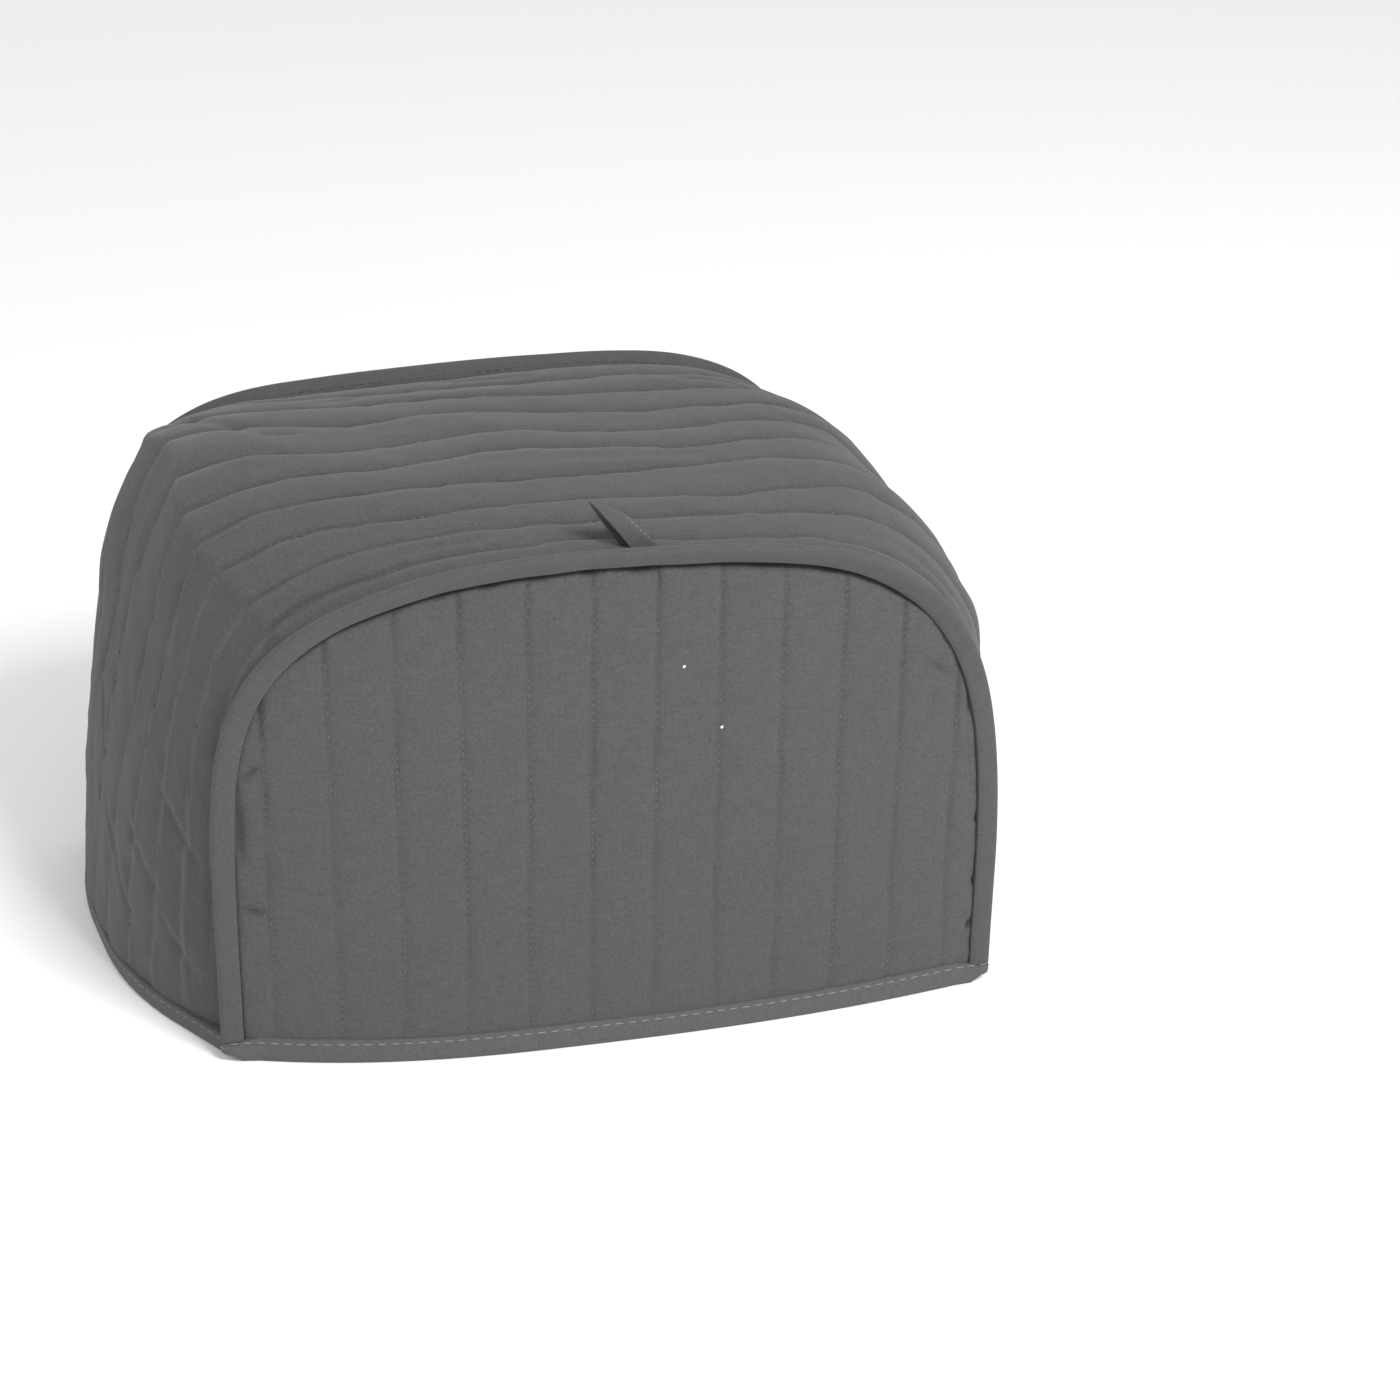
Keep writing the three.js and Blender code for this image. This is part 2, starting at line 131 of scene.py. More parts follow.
@dataclass(frozen=True)
class Hills:
    """Soft random hills: their height, how far apart they are both ways, and which set."""

    height: float
    pitch_u: float
    pitch_v: float
    seed: int

    def at(self, u: Array, v: Array, first_seed: int = 0) -> Array:
        """The hills' height at each place; the piece's first seed is added to their own."""
        return self.height * unevenness(u, v, self.pitch_u, self.pitch_v, first_seed + self.seed)


def run_of(points: Array) -> Array:
    """How far along a line of points each one is, from 0 at the first."""
    steps = np.linalg.norm(np.diff(points, axis=0), axis=1)
    return np.concatenate([[0.0], np.cumsum(steps)])


def unit(vectors: Array) -> Array:
    """Each vector at a length of 1."""
    return vectors / np.linalg.norm(vectors, axis=-1, keepdims=True)


def standing(right: Array, up: Array, back: Array, place: Array) -> Matrix:
    """The matrix of a camera or lamp from its three directions and its place."""
    columns = np.stack([right, up, back, place], 1)
    return Matrix([*columns.tolist(), [0.0, 0.0, 0.0, 1.0]])


# The cover's form, the same as the solids'


@dataclass(frozen=True)
class Shoulder:
    """One half of an arch: how far its foot reaches, and how square it is across and upwards."""

    reach: float
    across: float
    up: float


@dataclass(frozen=True)
class Arch:
    """An arch in its own upright plane, with unlike shoulders and a slight lean."""

    crown: float
    height: float
    lean: float
    left: Shoulder
    right: Shoulder
    foot: float = 8.3
    span: float = 150.0
    samples: int = 1440

    def reach_at(self, side: int, level: Array) -> Array:
        """Where the arch is at a height.

        Args:
            side: -1 for the left half, 1 for the right half.
            level: the height as a share of the arch's own.

        Returns:
            The arch's x at each height.
        """
        half = self.left if side < 0 else self.right
        level = np.clip(level, 0.0, 1.0)
        return self.crown + side * half.reach * (1.0 - level**half.up) ** (1.0 / half.across)

    def line(self, place: Array) -> tuple[Array, Array]:
        """Points on the arch.

        Args:
            place: how far along the arch each point is, from 0 at the left foot to 1 at the right.

        Returns:
            The x and z of each point.
        """
        turn = np.pi * (1.0 - np.arange(self.samples + 1) / self.samples)
        cosine, sine = np.cos(turn), np.maximum(np.sin(turn), 0.0)
        on_left = cosine < 0
        reach = np.where(on_left, self.left.reach, self.right.reach)
        across = np.where(on_left, self.left.across, self.right.across)
        up = np.where(on_left, self.left.up, self.right.up)
        x = self.crown + np.sign(cosine) * reach * np.abs(cosine) ** (2.0 / across)
        z = self.height * (1.0 - self.lean * x / self.span) * sine ** (2.0 / up)
        kept = z > self.foot
        x = np.concatenate([[x[kept][0]], x[kept], [x[kept][-1]]])
        z = np.concatenate([[self.foot], z[kept], [self.foot]])
        run = np.concatenate([[0.0], np.cumsum(np.hypot(np.diff(x), np.diff(z)))])
        wanted = np.clip(place, 0.0, 1.0) * run[-1]
        return np.interp(wanted, run, x), np.interp(wanted, run, z)

    def length(self) -> float:
        """The length of the arch from foot to foot."""
        x, z = self.line(np.linspace(0.0, 1.0, self.samples))
        return float(np.hypot(np.diff(x), np.diff(z)).sum())

    def area(self) -> float:
        """The area under the arch."""
        x, z = self.line(np.linspace(0.0, 1.0, self.samples))
        return float(((z[1:] + z[:-1]) / 2 * np.diff(x)).sum())


@dataclass(frozen=True)
class Bow:
    """How far a panel bows outwards along a level line."""

    out: float
    centre: float
    left: float
    right: float
    power: float

    def at(self, x: Array) -> Array:
        """The bow's depth at each x."""
        share = (x - self.centre) / np.where(x < self.centre, self.left, self.right)
        return self.out * (1.0 - np.abs(share) ** self.power)


@dataclass(frozen=True)
class Face:
    """An upright panel's plane with its bow at the hem and at the crown."""

    side: Side
    arch: Arch
    plane: float
    hem: Bow
    crown: Bow

    def at(self, x: Array, z: Array) -> Array:
        """The y of the panel's outer side, without its quilting."""
        level = z / self.arch.height
        low, high = self.hem.at(x), self.crown.at(x)
        return self.plane + self.side.value * (low + (high - low) * level)


@dataclass(frozen=True)
class Crease:
    """A soft trough in the cloth from one place to another; a negative depth makes it a ridge."""

    start: tuple[float, float]
    end: tuple[float, float]
    width: float
    depth: float
    end_share: float = 0.25

    def depth_at(self, u: Array, v: Array, scale: tuple[float, float] = (1.0, 1.0)) -> Array:
        """How deep the crease is at each place.

        Args:
            u: the first coordinate of each place, in the crease's units.
            v: the second coordinate of each place.
            scale: the millimetres in one unit of each coordinate.

        Returns:
            The depth in millimetres.
        """
        size = np.array(scale)
        start = np.array(self.start) * size
        run = np.array(self.end) * size - start
        a, b = u * size[0] - start[0], v * size[1] - start[1]
        share = np.clip((a * run[0] + b * run[1]) / (run @ run), 0.0, 1.0)
        off = np.hypot(a - share * run[0], b - share * run[1])
        return self.depth * at_least(self.end_share, np.sin(np.pi * share)) * hump(off, self.width)


@dataclass(frozen=True)
class CoverForm:
    """The whole cover: three arches, the bows of the panels and the swell of the gusset."""

    depth: float = 196.0
    seam: float = 2.6
    clearance: float = 0.3
    front: Arch = Arch(2.8, 199.5, 0.025, Shoulder(151.9, 2.08, 6.4), Shoulder(136.8, 3.2, 4.3))
    middle: Arch = Arch(-14.0, 206.0, 0.008, Shoulder(182.0, 7.5, 1.5), Shoulder(169.0, 4.1, 5.0))
    back: Arch = Arch(-26.0, 197.0, -0.03, Shoulder(152.0, 5.9, 5.5), Shoulder(145.0, 3.9, 6.5))
    front_hem: Bow = Bow(14.0, -25.0, 112.0, 170.0, 2.5)
    front_crown: Bow = Bow(12.0, 0.0, 150.0, 150.0, 2.0)
    back_hem: Bow = Bow(9.0, -26.0, 145.0, 145.0, 2.2)
    back_crown: Bow = Bow(8.0, -26.0, 145.0, 145.0, 2.0)
    swell_front: float = 2.3
    swell_back: float = 3.6
    fold_along: float = 0.288
    fold_reach: float = 16.0
    fold_round: float = 0.8
    fold_rise: float = 4.6
    fold_drift: float = 0.0145
    drift_centre: float = 0.62
    drift_width: float = 0.168
    shoulder_reach: float = 62.0
    shoulder_rise: float = 6.5
    fold_front: float = 0.35
    fold_back: float = 0.12
    shoulder_back: float = 0.5
    strip_length: float = 620.0
    slope_step: float = 0.004

    @property
    def front_face(self) -> Face:
        """The front panel's face."""
        return Face(Side.FRONT, self.front, 0.0, self.front_hem, self.front_crown)

    @property
    def back_face(self) -> Face:
        """The back panel's face."""
        return Face(Side.BACK, self.back, self.depth, self.back_hem, self.back_crown)

    def gusset(self, along: Array, across: Array) -> Array:
        """Points of the gusset's outer side, without its quilting.

        Args:
            along: from 0 at the left foot to 1 at the right foot.
            across: from 0 at the front seam to 1 at the back seam.

        Returns:
            One point for each place.
        """
        front_x, front_z = self.front.line(along)
        middle_x, middle_z = self.middle.line(along)
        back_x, back_z = self.back.line(along)
        power = np.where(across < 0.5, self.swell_front, self.swell_back)
        swell = 1.0 - np.abs(2.0 * across - 1.0) ** power
        x = front_x + (back_x - front_x) * across + (middle_x - (front_x + back_x) / 2) * swell
        z = front_z + (back_z - front_z) * across + (middle_z - (front_z + back_z) / 2) * swell
        near = self.seam + self.clearance
        front_y = self.front_face.at(front_x, front_z) + near
        back_y = self.back_face.at(back_x, back_z) - near
        return np.stack([x, front_y + (back_y - front_y) * across, z], -1)

    def gusset_normal(self, along: Array, across: Array) -> Array:
        """The outward direction of the gusset at each place."""
        step = self.slope_step
        low, high = np.clip(along - step, 0, 1), np.clip(along + step, 0, 1)
        near, far = np.clip(across - step, 0, 1), np.clip(across + step, 0, 1)
        lengthwise = self.gusset(high, across) - self.gusset(low, across)
        crosswise = self.gusset(along, far) - self.gusset(along, near)
        return unit(np.cross(lengthwise, crosswise))

    def fold_place(self, across: Array) -> Array:
        """How far along the strip the fold is, which drifts towards the top at the back."""
        drift = hump(across - self.drift_centre, self.drift_width)
        return self.fold_along + self.fold_drift * drift

    def fold(self, along: Array, across: Array) -> Array:
        """How far the sharp fold at the top of the left side stands up.

        Args:
            along: each place along the strip.
            across: each place across the strip.

        Returns:
            The height in millimetres.
        """
        off = (along - self.fold_place(across)) * self.strip_length
        off = np.hypot(off, self.fold_round) - self.fold_round
        ridge = self.fold_rise * np.exp(-off / self.fold_reach)
        ridge = ridge * smoothstep(1 - across, self.fold_back)
        shoulder = self.shoulder_rise * np.clip(1 - off / self.shoulder_reach, 0, 1) ** 2
        shoulder = shoulder * smoothstep(1 - across, self.shoulder_back)
        return (ridge + shoulder) * smoothstep(across, self.fold_front)


# Building meshes


@dataclass
class Builder:
    """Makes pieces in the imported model's frame and keeps what every piece needs."""

    form: CoverForm = field(default_factory=CoverForm)
    origin: tuple[float, float, float] = (22.02, -95.54, 0.0)
    cloth_thickness: float = 2.3
    least_thickness: float = 0.45
    thin_share: float = 0.3
    weight_steps: int = 100
    smooth_angle: float = 60.0
    weld: float = 1e-6
    thread_sides: int = 6
    thread_profile: tuple = ((-0.5, 0.35), (-0.3, 1.0), (0.3, 1.0), (0.5, 0.35))

    def place(self, points: Array) -> Array:
        """Points of the cover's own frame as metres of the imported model."""
        return (points + np.array(self.origin)) / METRE

    def grid(self, name: str, columns: int, rows: int) -> bpy.types.Object:
        """A flat cut of cloth as a grid of faces.

        Args:
            name: the piece's name.
            columns: how many faces it has across.
            rows: how many faces it has along.

        Returns:
            The new object, one unit wide and long.
        """
        bpy.ops.object.select_all(action="DESELECT")
        bpy.ops.mesh.primitive_grid_add(x_subdivisions=columns, y_subdivisions=rows, size=1.0)
        piece = bpy.context.active_object
        piece.name = piece.data.name = name
        return piece

    def shares(self, piece: bpy.types.Object) -> tuple[Array, Array]:
        """Where each point of a grid is across and along it, from 0 to 1."""
        flat = np.empty(len(piece.data.vertices) * 3)
        piece.data.vertices.foreach_get("co", flat)
        flat = flat.reshape(-1, 3)
        return np.clip(flat[:, 0] + 0.5, 0, 1), np.clip(flat[:, 1] + 0.5, 0, 1)

    def drape(self, piece: bpy.types.Object, points: Array, flat: Array) -> None:
        """Moves a grid's points to where the cloth hangs and keeps the flat cut as its UV map.

        Args:
            piece: the grid.
            points: where each point goes, in the cover's own frame.
            flat: where each point lies on the flat cut, in millimetres.
        """
        mesh = piece.data
        mesh.vertices.foreach_set("co", self.place(points).ravel())
        corners = np.empty(len(mesh.loops), int)
        mesh.loops.foreach_get("vertex_index", corners)
        uv = mesh.uv_layers[0] if mesh.uv_layers else mesh.uv_layers.new(name="Flat")
        uv.data.foreach_set("uv", (flat[corners] / FLAT_UNIT).ravel())
        mesh.update()

    def mark(self, piece: bpy.types.Object, name: str, values: Array) -> None:
        """Keeps one number for each point, which the finishes read."""
        attribute = piece.data.attributes.new(name, "FLOAT", "POINT")
        attribute.data.foreach_set("value", np.asarray(values, np.float32))

    def weigh(self, piece: bpy.types.Object, name: str, weights: Array) -> None:
        """Gives a piece a vertex group with a weight for each point, in steps of a hundredth."""
        group = piece.vertex_groups.new(name=name)
        steps = np.round(np.clip(weights, 0, 1) * self.weight_steps).astype(int)
        for step in np.unique(steps):
            members = [int(i) for i in np.nonzero(steps == step)[0]]
            group.add(members, step / self.weight_steps, "REPLACE")

    def pick(self, piece: bpy.types.Object) -> None:
        """Selects one piece alone and makes it the active one."""
        bpy.ops.object.select_all(action="DESELECT")
        piece.select_set(True)
        bpy.context.view_layer.objects.active = piece

    def faces(self, piece: bpy.types.Object, what: str) -> Array:
        """One row for each face: its centre or its normal."""
        values = np.empty(len(piece.data.polygons) * 3)
        piece.data.polygons.foreach_get(what, values)
        return values.reshape(-1, 3)

    def finish_with(self, piece: bpy.types.Object, kind: str, **settings: object) -> None:
        """Adds a modifier, sets it and applies it."""
        modifier = piece.modifiers.new(kind.title(), kind)
        for key, value in settings.items():
            setattr(modifier, key, value)
        self.pick(piece)
        bpy.ops.object.modifier_apply(modifier=modifier.name)

    def in_edit(self, piece: bpy.types.Object, *steps: tuple) -> None:
        """Runs mesh operators on all of a piece in edit mode.

        Args:
            piece: the object.
            steps: pairs of an operator and a dictionary of its settings.
        """
        self.pick(piece)
        bpy.ops.object.mode_set(mode="EDIT")
        for operator, settings in steps:
            bpy.ops.mesh.select_all(action="SELECT")
            operator(**settings)
        bpy.ops.object.mode_set(mode="OBJECT")

    def face_outwards(self, piece: bpy.types.Object, direction: Array) -> None:
        """Turns a sheet's faces over if most of them point against a direction.

        Args:
            piece: the sheet.
            direction: one direction for all faces, or one for each face.
        """
        if (self.faces(piece, "normal") * direction).sum() < 0:
            piece.data.flip_normals()

    def smooth(self, piece: bpy.types.Object) -> None:
        """Shades a piece smooth but for its sharp edges."""
        self.pick(piece)
        bpy.ops.object.shade_smooth_by_angle(angle=math.radians(self.smooth_angle))

    def quilt(self, piece: bpy.types.Object, plump: Array, near: Array, direction: Array) -> None:
        """Gives a draped sheet its painted shading, its outer side and its uneven thickness.

        Args:
            piece: the sheet.
            plump: how plump the cloth is at each point.
            near: how much painted shade each point gets, near the stitches, seams and creases;
                below 0 it is a painted highlight.
            direction: which way is outwards, for all faces or for each.
        """
        # The quilting attribute carries the painted shade and painted highlights to the cloth's
        # finish.
        self.mark(piece, "quilting", near)
        self.weigh(piece, "plump", at_least(self.least_thickness, plump))
        self.face_outwards(piece, direction)
        self.finish_with(
            piece,
            "SOLIDIFY",
            thickness=self.cloth_thickness / METRE,
            offset=-1.0,
            vertex_group="plump",
            thickness_vertex_group=self.thin_share,
        )
        self.smooth(piece)

    def tube(self, name: str, rings: Array, closed: bool) -> bpy.types.Object:
        """A tape of a rounded section, from a grid that is rolled up and closed.

        Args:
            name: the piece's name.
            rings: the points of each ring along the tape, ring by ring.
            closed: whether the last ring meets the first one.

        Returns:
            The finished object.
        """
        stations, sides = rings.shape[:2]
        rows = stations if closed else stations - 1
        piece = self.grid(name, sides, rows)
        u, v = self.shares(piece)
        i = np.round(u * sides).astype(int)
        j = np.round(v * rows).astype(int)
        points = rings[j % stations, i % sides]
        wrapped = np.concatenate([rings, rings[:, :1]], 1)
        girth = np.linalg.norm(np.diff(wrapped, axis=1), axis=2).mean(0)
        spine = rings.mean(1)
        across = np.concatenate([[0.0], np.cumsum(girth)])[i]
        along = run_of(np.concatenate([spine, spine[:1]]))[j]
        self.drape(piece, points, np.stack([across, along], 1))
        self.in_edit(
            piece,
            (bpy.ops.mesh.remove_doubles, {"threshold": self.weld}),
            (bpy.ops.mesh.fill_holes, {"sides": 0}),
            (bpy.ops.mesh.normals_make_consistent, {"inside": False}),
        )
        self.smooth(piece)
        return piece

    def dashes(
        self, name: str, centres: Array, tangents: Array, normals: Array, size: tuple
    ) -> bpy.types.Object:
        """Many stitches as one mesh: each a short rounded grain of thread.

        Args:
            name: the piece's name.
            centres: the middle of each stitch, in the cover's own frame.
            tangents: which way each stitch runs.
            normals: which way is outwards at each stitch.
            size: a stitch's length, width and height.

        Returns:
            The finished object.
        """
        length, width, height = size
        profile, sides = self.thread_profile, self.thread_sides
        turns = np.arange(sides) * 2 * np.pi / sides
        local = []
        for share, thick in profile:
            for turn in turns:
                across = math.cos(turn) * width / 2 * thick
                local.append([share * length, across, math.sin(turn) * height / 2 * thick])
        local = np.array(local)
        tangents = unit(tangents)
        sideways = unit(np.cross(normals, tangents))
        upwards = np.cross(tangents, sideways)
        axes = np.stack([tangents, sideways, upwards], 1)
        points = centres[:, None, :] + local[None] @ axes
        faces = []
        for k in range(len(profile) - 1):
            for i in range(sides):
                n = (i + 1) % sides
                a, b = k * sides, (k + 1) * sides
                faces.append([a + i, a + n, b + n, b + i])
        faces.append(list(range(sides))[::-1])
        faces.append([(len(profile) - 1) * sides + i for i in range(sides)])
        count = len(local)
        every = []
        for k in range(len(centres)):
            every += [[index + count * k for index in face] for face in faces]
        mesh = bpy.data.meshes.new(name)
        mesh.from_pydata([tuple(p) for p in self.place(points.reshape(-1, 3))], [], every)
        piece = bpy.data.objects.new(name, mesh)
        bpy.context.scene.collection.objects.link(piece)
        self.in_edit(piece, (bpy.ops.mesh.normals_make_consistent, {"inside": False}))
        self.smooth(piece)
        return piece


# Shader maths as expressions


class Signal:
    """A number's socket in a material; sums on it add the Math nodes."""

    def __init__(self, paint: "Paint", socket: bpy.types.NodeSocket) -> None:
        """Wraps a socket of a material."""
        self.paint = paint
        self.socket = socket

    def sum(self, operation: str, *others: object) -> "Signal":
        """The result of one Math node on this value and others."""
        return self.paint.math(operation, self, *others)

    def __add__(self, other: object) -> "Signal":
        """This value plus another."""
        return self.sum("ADD", other)

    def __radd__(self, other: object) -> "Signal":
        """Another value plus this one."""
        return self.paint.math("ADD", other, self)

    def __sub__(self, other: object) -> "Signal":
        """This value less another."""
        return self.sum("SUBTRACT", other)

    def __rsub__(self, other: object) -> "Signal":
        """Another value less this one."""
        return self.paint.math("SUBTRACT", other, self)

    def __mul__(self, other: object) -> "Signal":
        """This value times another."""
        return self.sum("MULTIPLY", other)

    def __rmul__(self, other: object) -> "Signal":
        """Another value times this one."""
        return self.paint.math("MULTIPLY", other, self)

    def wave(self) -> "Signal":
        """The sine of this value."""
        return self.sum("SINE")


class Paint:
    """One procedural material, made node by node."""

    def __init__(self, name: str) -> None:
        """Starts a material that has its output alone."""
        self.material = bpy.data.materials.new(name)
        self.material.use_nodes = True
        self.tree = self.material.node_tree
        self.tree.nodes.clear()

    def node(
        self, kind: str, settings: dict | None = None, inputs: dict | None = None
    ) -> bpy.types.Node:
        """Adds a node.

        Args:
            kind: the node's type.
            settings: its properties, which are set first.
            inputs: values or links of its sockets, by name or place.

        Returns:
            The new node.
        """
        made = self.tree.nodes.new(kind)
        for key, value in (settings or {}).items():
            setattr(made, key, value)
        for key, value in (inputs or {}).items():
            self.connect(made.inputs[key], value)
        return made

    def connect(self, socket: bpy.types.NodeSocket, value: object) -> None:
        """Links a socket to another one, or sets its own value."""
        if isinstance(value, Signal):
            value = value.socket
        if isinstance(value, bpy.types.NodeSocket):
            self.tree.links.new(value, socket)
        else:
            socket.default_value = value

    def math(self, operation: str, *values: object) -> Signal:
        """The result of one Math node."""
        made = self.node("ShaderNodeMath", {"operation": operation}, dict(enumerate(values)))
        return Signal(self, made.outputs[0])

    def noise(
        self, where: bpy.types.NodeSocket, scale: float, detail: float = 2.0, rough: float = 0.6
    ) -> Signal:
        """Soft noise of about 0 to 1."""
        inputs = {"Vector": where, "Scale": scale, "Detail": detail, "Roughness": rough}
        return Signal(self, self.node("ShaderNodeTexNoise", {}, inputs).outputs[0])

    def stretched(self, where: bpy.types.NodeSocket, scale: tuple) -> bpy.types.NodeSocket:
        """A place scaled by different amounts along its axes."""
        made = self.node("ShaderNodeVectorMath", {"operation": "MULTIPLY"}, {0: where, 1: scale})
        return made.outputs[0]

    def blend(
        self, share: object, one: object, two: object, mode: str = "MIX"
    ) -> bpy.types.NodeSocket:
        """A mix of two colours."""
        settings = {"data_type": "RGBA", "blend_type": mode}
        return self.node("ShaderNodeMix", settings, {0: share, 6: one, 7: two}).outputs[2]

    def attribute(self, name: str) -> Signal:
        """A number kept for each point of the piece."""
        made = self.node("ShaderNodeAttribute", {"attribute_name": name})
        return Signal(self, made.outputs["Fac"])

    def finish(self, inputs: dict, normal: object = None) -> bpy.types.Material:
        """Adds the shader and the output."""
        shader = self.node("ShaderNodeBsdfPrincipled", {}, inputs)
        if normal is not None:
            self.connect(shader.inputs["Normal"], normal)
        self.node("ShaderNodeOutputMaterial", {}, {"Surface": shader.outputs[0]})
        return self.material


def grey(level: float, warm: float = 0.0, green: float = 0.0) -> tuple:
    """A near-neutral colour from its linear level."""
    return (level * (1 + warm), level * (1 + green), level * (1 - warm), 1.0)


@dataclass(frozen=True)
class ClothFinish:
    """Matt plain-weave cotton: threads both ways, slubs, soft clouds, and the painted shade and
    painted highlights that the quilting attribute carries.
    """

    name: str
    level: float = 0.064
    threads: float = 180.0
    slub: float = 0.10
    cloud: float = 0.05
    mottle: float = 0.7
    # How far the quilting attribute's painted shade darkens the colour; where it is below 0 it is a
    # painted highlight that lightens it.
    line: float = 0.30
    bump: float = 0.35
    relief: float = 0.00022
    warm: float = -0.004
    green: float = 0.012
    wobble_scale: float = 30.0
    wobble: float = 4.0
    slub_length: float = 9.0
    slub_width: float = 130.0
    fibre_scale: float = 260.0
    fibre_detail: float = 3.0
    fine_scale: float = 75.0
    coarse_scale: float = 20.0
    coarse_share: float = 0.35
    cloud_scale: float = 2.6
    cloud_detail: float = 4.0
    weave_tone: float = 0.03
    weave_height: float = 0.35
    slub_height: float = 0.9
    fibre_height: float = 0.8
    roughness: float = 0.92
    sheen: float = 0.12
    sheen_roughness: float = 0.5
    shine: float = 0.25

    def material(self) -> bpy.types.Material:
        """Makes the cloth's material."""
        paint = Paint(self.name)
        flat = paint.node("ShaderNodeUVMap", {"uv_map": "UVMap"}).outputs[0]
        parts = paint.node("ShaderNodeSeparateXYZ", {}, {0: flat})
        u, v = Signal(paint, parts.outputs[0]), Signal(paint, parts.outputs[1])
        turns = 2 * math.pi * self.threads
        wobble = paint.noise(flat, self.wobble_scale) * self.wobble
        warp = (u * turns + wobble).wave()
        weft = (v * turns + wobble).wave()
        weave = warp * weft
        upright = (self.slub_width, self.slub_length, 1.0)
        level = (self.slub_length, self.slub_width, 1.0)
        warp_slub = paint.noise(paint.stretched(flat, upright), 1.0)
        weft_slub = paint.noise(paint.stretched(flat, level), 1.0)
        slubs = warp_slub + weft_slub - 1.0
        fibre = paint.noise(flat, self.fibre_scale, self.fibre_detail) - 0.5
        clouds = paint.noise(flat, self.cloud_scale, self.cloud_detail) - 0.5
        # The quilting attribute is painted shade along the stitch rows, in the seam groove, in
        # creases and on the gusset's left wall; below 0 it is a painted highlight.
        lines = paint.attribute("quilting")
        fine = paint.noise(flat, self.fine_scale, 2.0) - 0.5
        coarse = paint.noise(flat, self.coarse_scale, 2.0) - 0.5
        tone = 1.0 + slubs * (2 * self.slub) + clouds * (2 * self.cloud) + weave * self.weave_tone
        tone = tone + (fibre + fine + coarse * self.coarse_share) * self.mottle
        # Painted shade and painted highlights from the quilting attribute.
        tone = tone * (1.0 - lines * self.line)
        base = grey(self.level, self.warm, self.green)
        colour = paint.blend(1.0, base, self.as_colour(paint, tone), "MULTIPLY")
        height = weave * self.weave_height + slubs * self.slub_height + fibre * self.fibre_height
        relief = {"Strength": self.bump, "Distance": self.relief, "Height": height}
        bump = paint.node("ShaderNodeBump", {}, relief)
        inputs = {
            "Base Color": colour,
            "Roughness": self.roughness,
            "Sheen Weight": self.sheen,
            "Sheen Roughness": self.sheen_roughness,
            "Specular IOR Level": self.shine,
        }
        return paint.finish(inputs, bump.outputs[0])

    def as_colour(self, paint: Paint, tone: Signal) -> bpy.types.NodeSocket:
        """The same number for red, green and blue."""
        made = paint.node("ShaderNodeCombineColor", {}, {0: tone, 1: tone, 2: tone})
        return made.outputs[0]


@dataclass(frozen=True)
class ThreadFinish:
    """Cotton sewing thread, a little glossier than the cloth."""

    name: str
    level: float
    ply_scale: float = 1800.0
    dark: float = 0.8
    light: float = 1.2
    bump: float = 0.4
    relief: float = 0.0001
    roughness: float = 0.6
    sheen: float = 0.1

    def material(self) -> bpy.types.Material:
        """Makes the thread's material."""
        paint = Paint(self.name)
        where = paint.node("ShaderNodeTexCoord").outputs["Object"]
        ply = paint.noise(where, self.ply_scale, 2.0)
        colour = paint.blend(ply, grey(self.level * self.dark), grey(self.level * self.light))
        relief = {"Strength": self.bump, "Distance": self.relief, "Height": ply}
        bump = paint.node("ShaderNodeBump", {}, relief)
        inputs = {"Base Color": colour, "Roughness": self.roughness, "Sheen Weight": self.sheen}
        return paint.finish(inputs, bump.outputs[0])


@dataclass(frozen=True)
class FloorFinish:
    """A plain pale surface."""

    name: str
    level: float = 0.92
    roughness: float = 0.9

    def material(self) -> bpy.types.Material:
        """Makes the floor's material."""
        inputs = {"Base Color": grey(self.level), "Roughness": self.roughness}
        return Paint(self.name).finish(inputs)


# The finishes of the cover; a tape's are its level, threads, slub, cloud and mottle
CLOTH = ClothFinish("grey_quilted_cotton")
SEAM_BINDING = ClothFinish("grey_binding_tape", 0.064, 200.0, 0.07, 0.03, 0.55)
HEM_BINDING = ClothFinish("grey_hem_tape", 0.077, 200.0, 0.07, 0.03, 0.55)
QUILTING_THREAD = ThreadFinish("quilting_thread", 0.088)
TOPSTITCH_THREAD = ThreadFinish("topstitch_thread", 0.17)
SEAM_THREAD = ThreadFinish("seam_thread", 0.03)
WHITE_LINT = ThreadFinish("white_lint", 0.7)


@dataclass
class Wardrobe:
    """All materials of the cover, made once."""

    cloth: bpy.types.Material = field(default_factory=CLOTH.material)
    tape: bpy.types.Material = field(default_factory=SEAM_BINDING.material)
    hem: bpy.types.Material = field(default_factory=HEM_BINDING.material)
    quilting: bpy.types.Material = field(default_factory=QUILTING_THREAD.material)
    topstitch: bpy.types.Material = field(default_factory=TOPSTITCH_THREAD.material)
    seam_thread: bpy.types.Material = field(default_factory=SEAM_THREAD.material)
    lint: bpy.types.Material = field(default_factory=WHITE_LINT.material)


# The sub-assemblies

# Short puckers beside the front seam, by x and z
FRONT_CREASES = (
    Crease((-137.4, 154.0), (-137.0, 145.0), 1.1, 1.3),
    Crease((-147.0, 67.0), (-137.5, 65.0), 1.2, 1.2),
    Crease((-146.4, 117.0), (-146.2, 86.0), 1.3, 1.5),
    Crease((-145.0, 121.0), (-138.0, 127.0), 1.5, 1.0),
    Crease((112.0, 149.0), (125.0, 139.5), 1.5, 0.7),
    Crease((131.0, 137.0), (132.6, 122.0), 1.1, 1.4),
    Crease((138.6, 77.0), (138.8, 73.0), 0.9, 2.4),
    Crease((139.0, 49.0), (139.2, 45.0), 0.9, 2.4),
    Crease((138.6, 29.0), (138.4, 25.0), 0.9, 2.4),
)


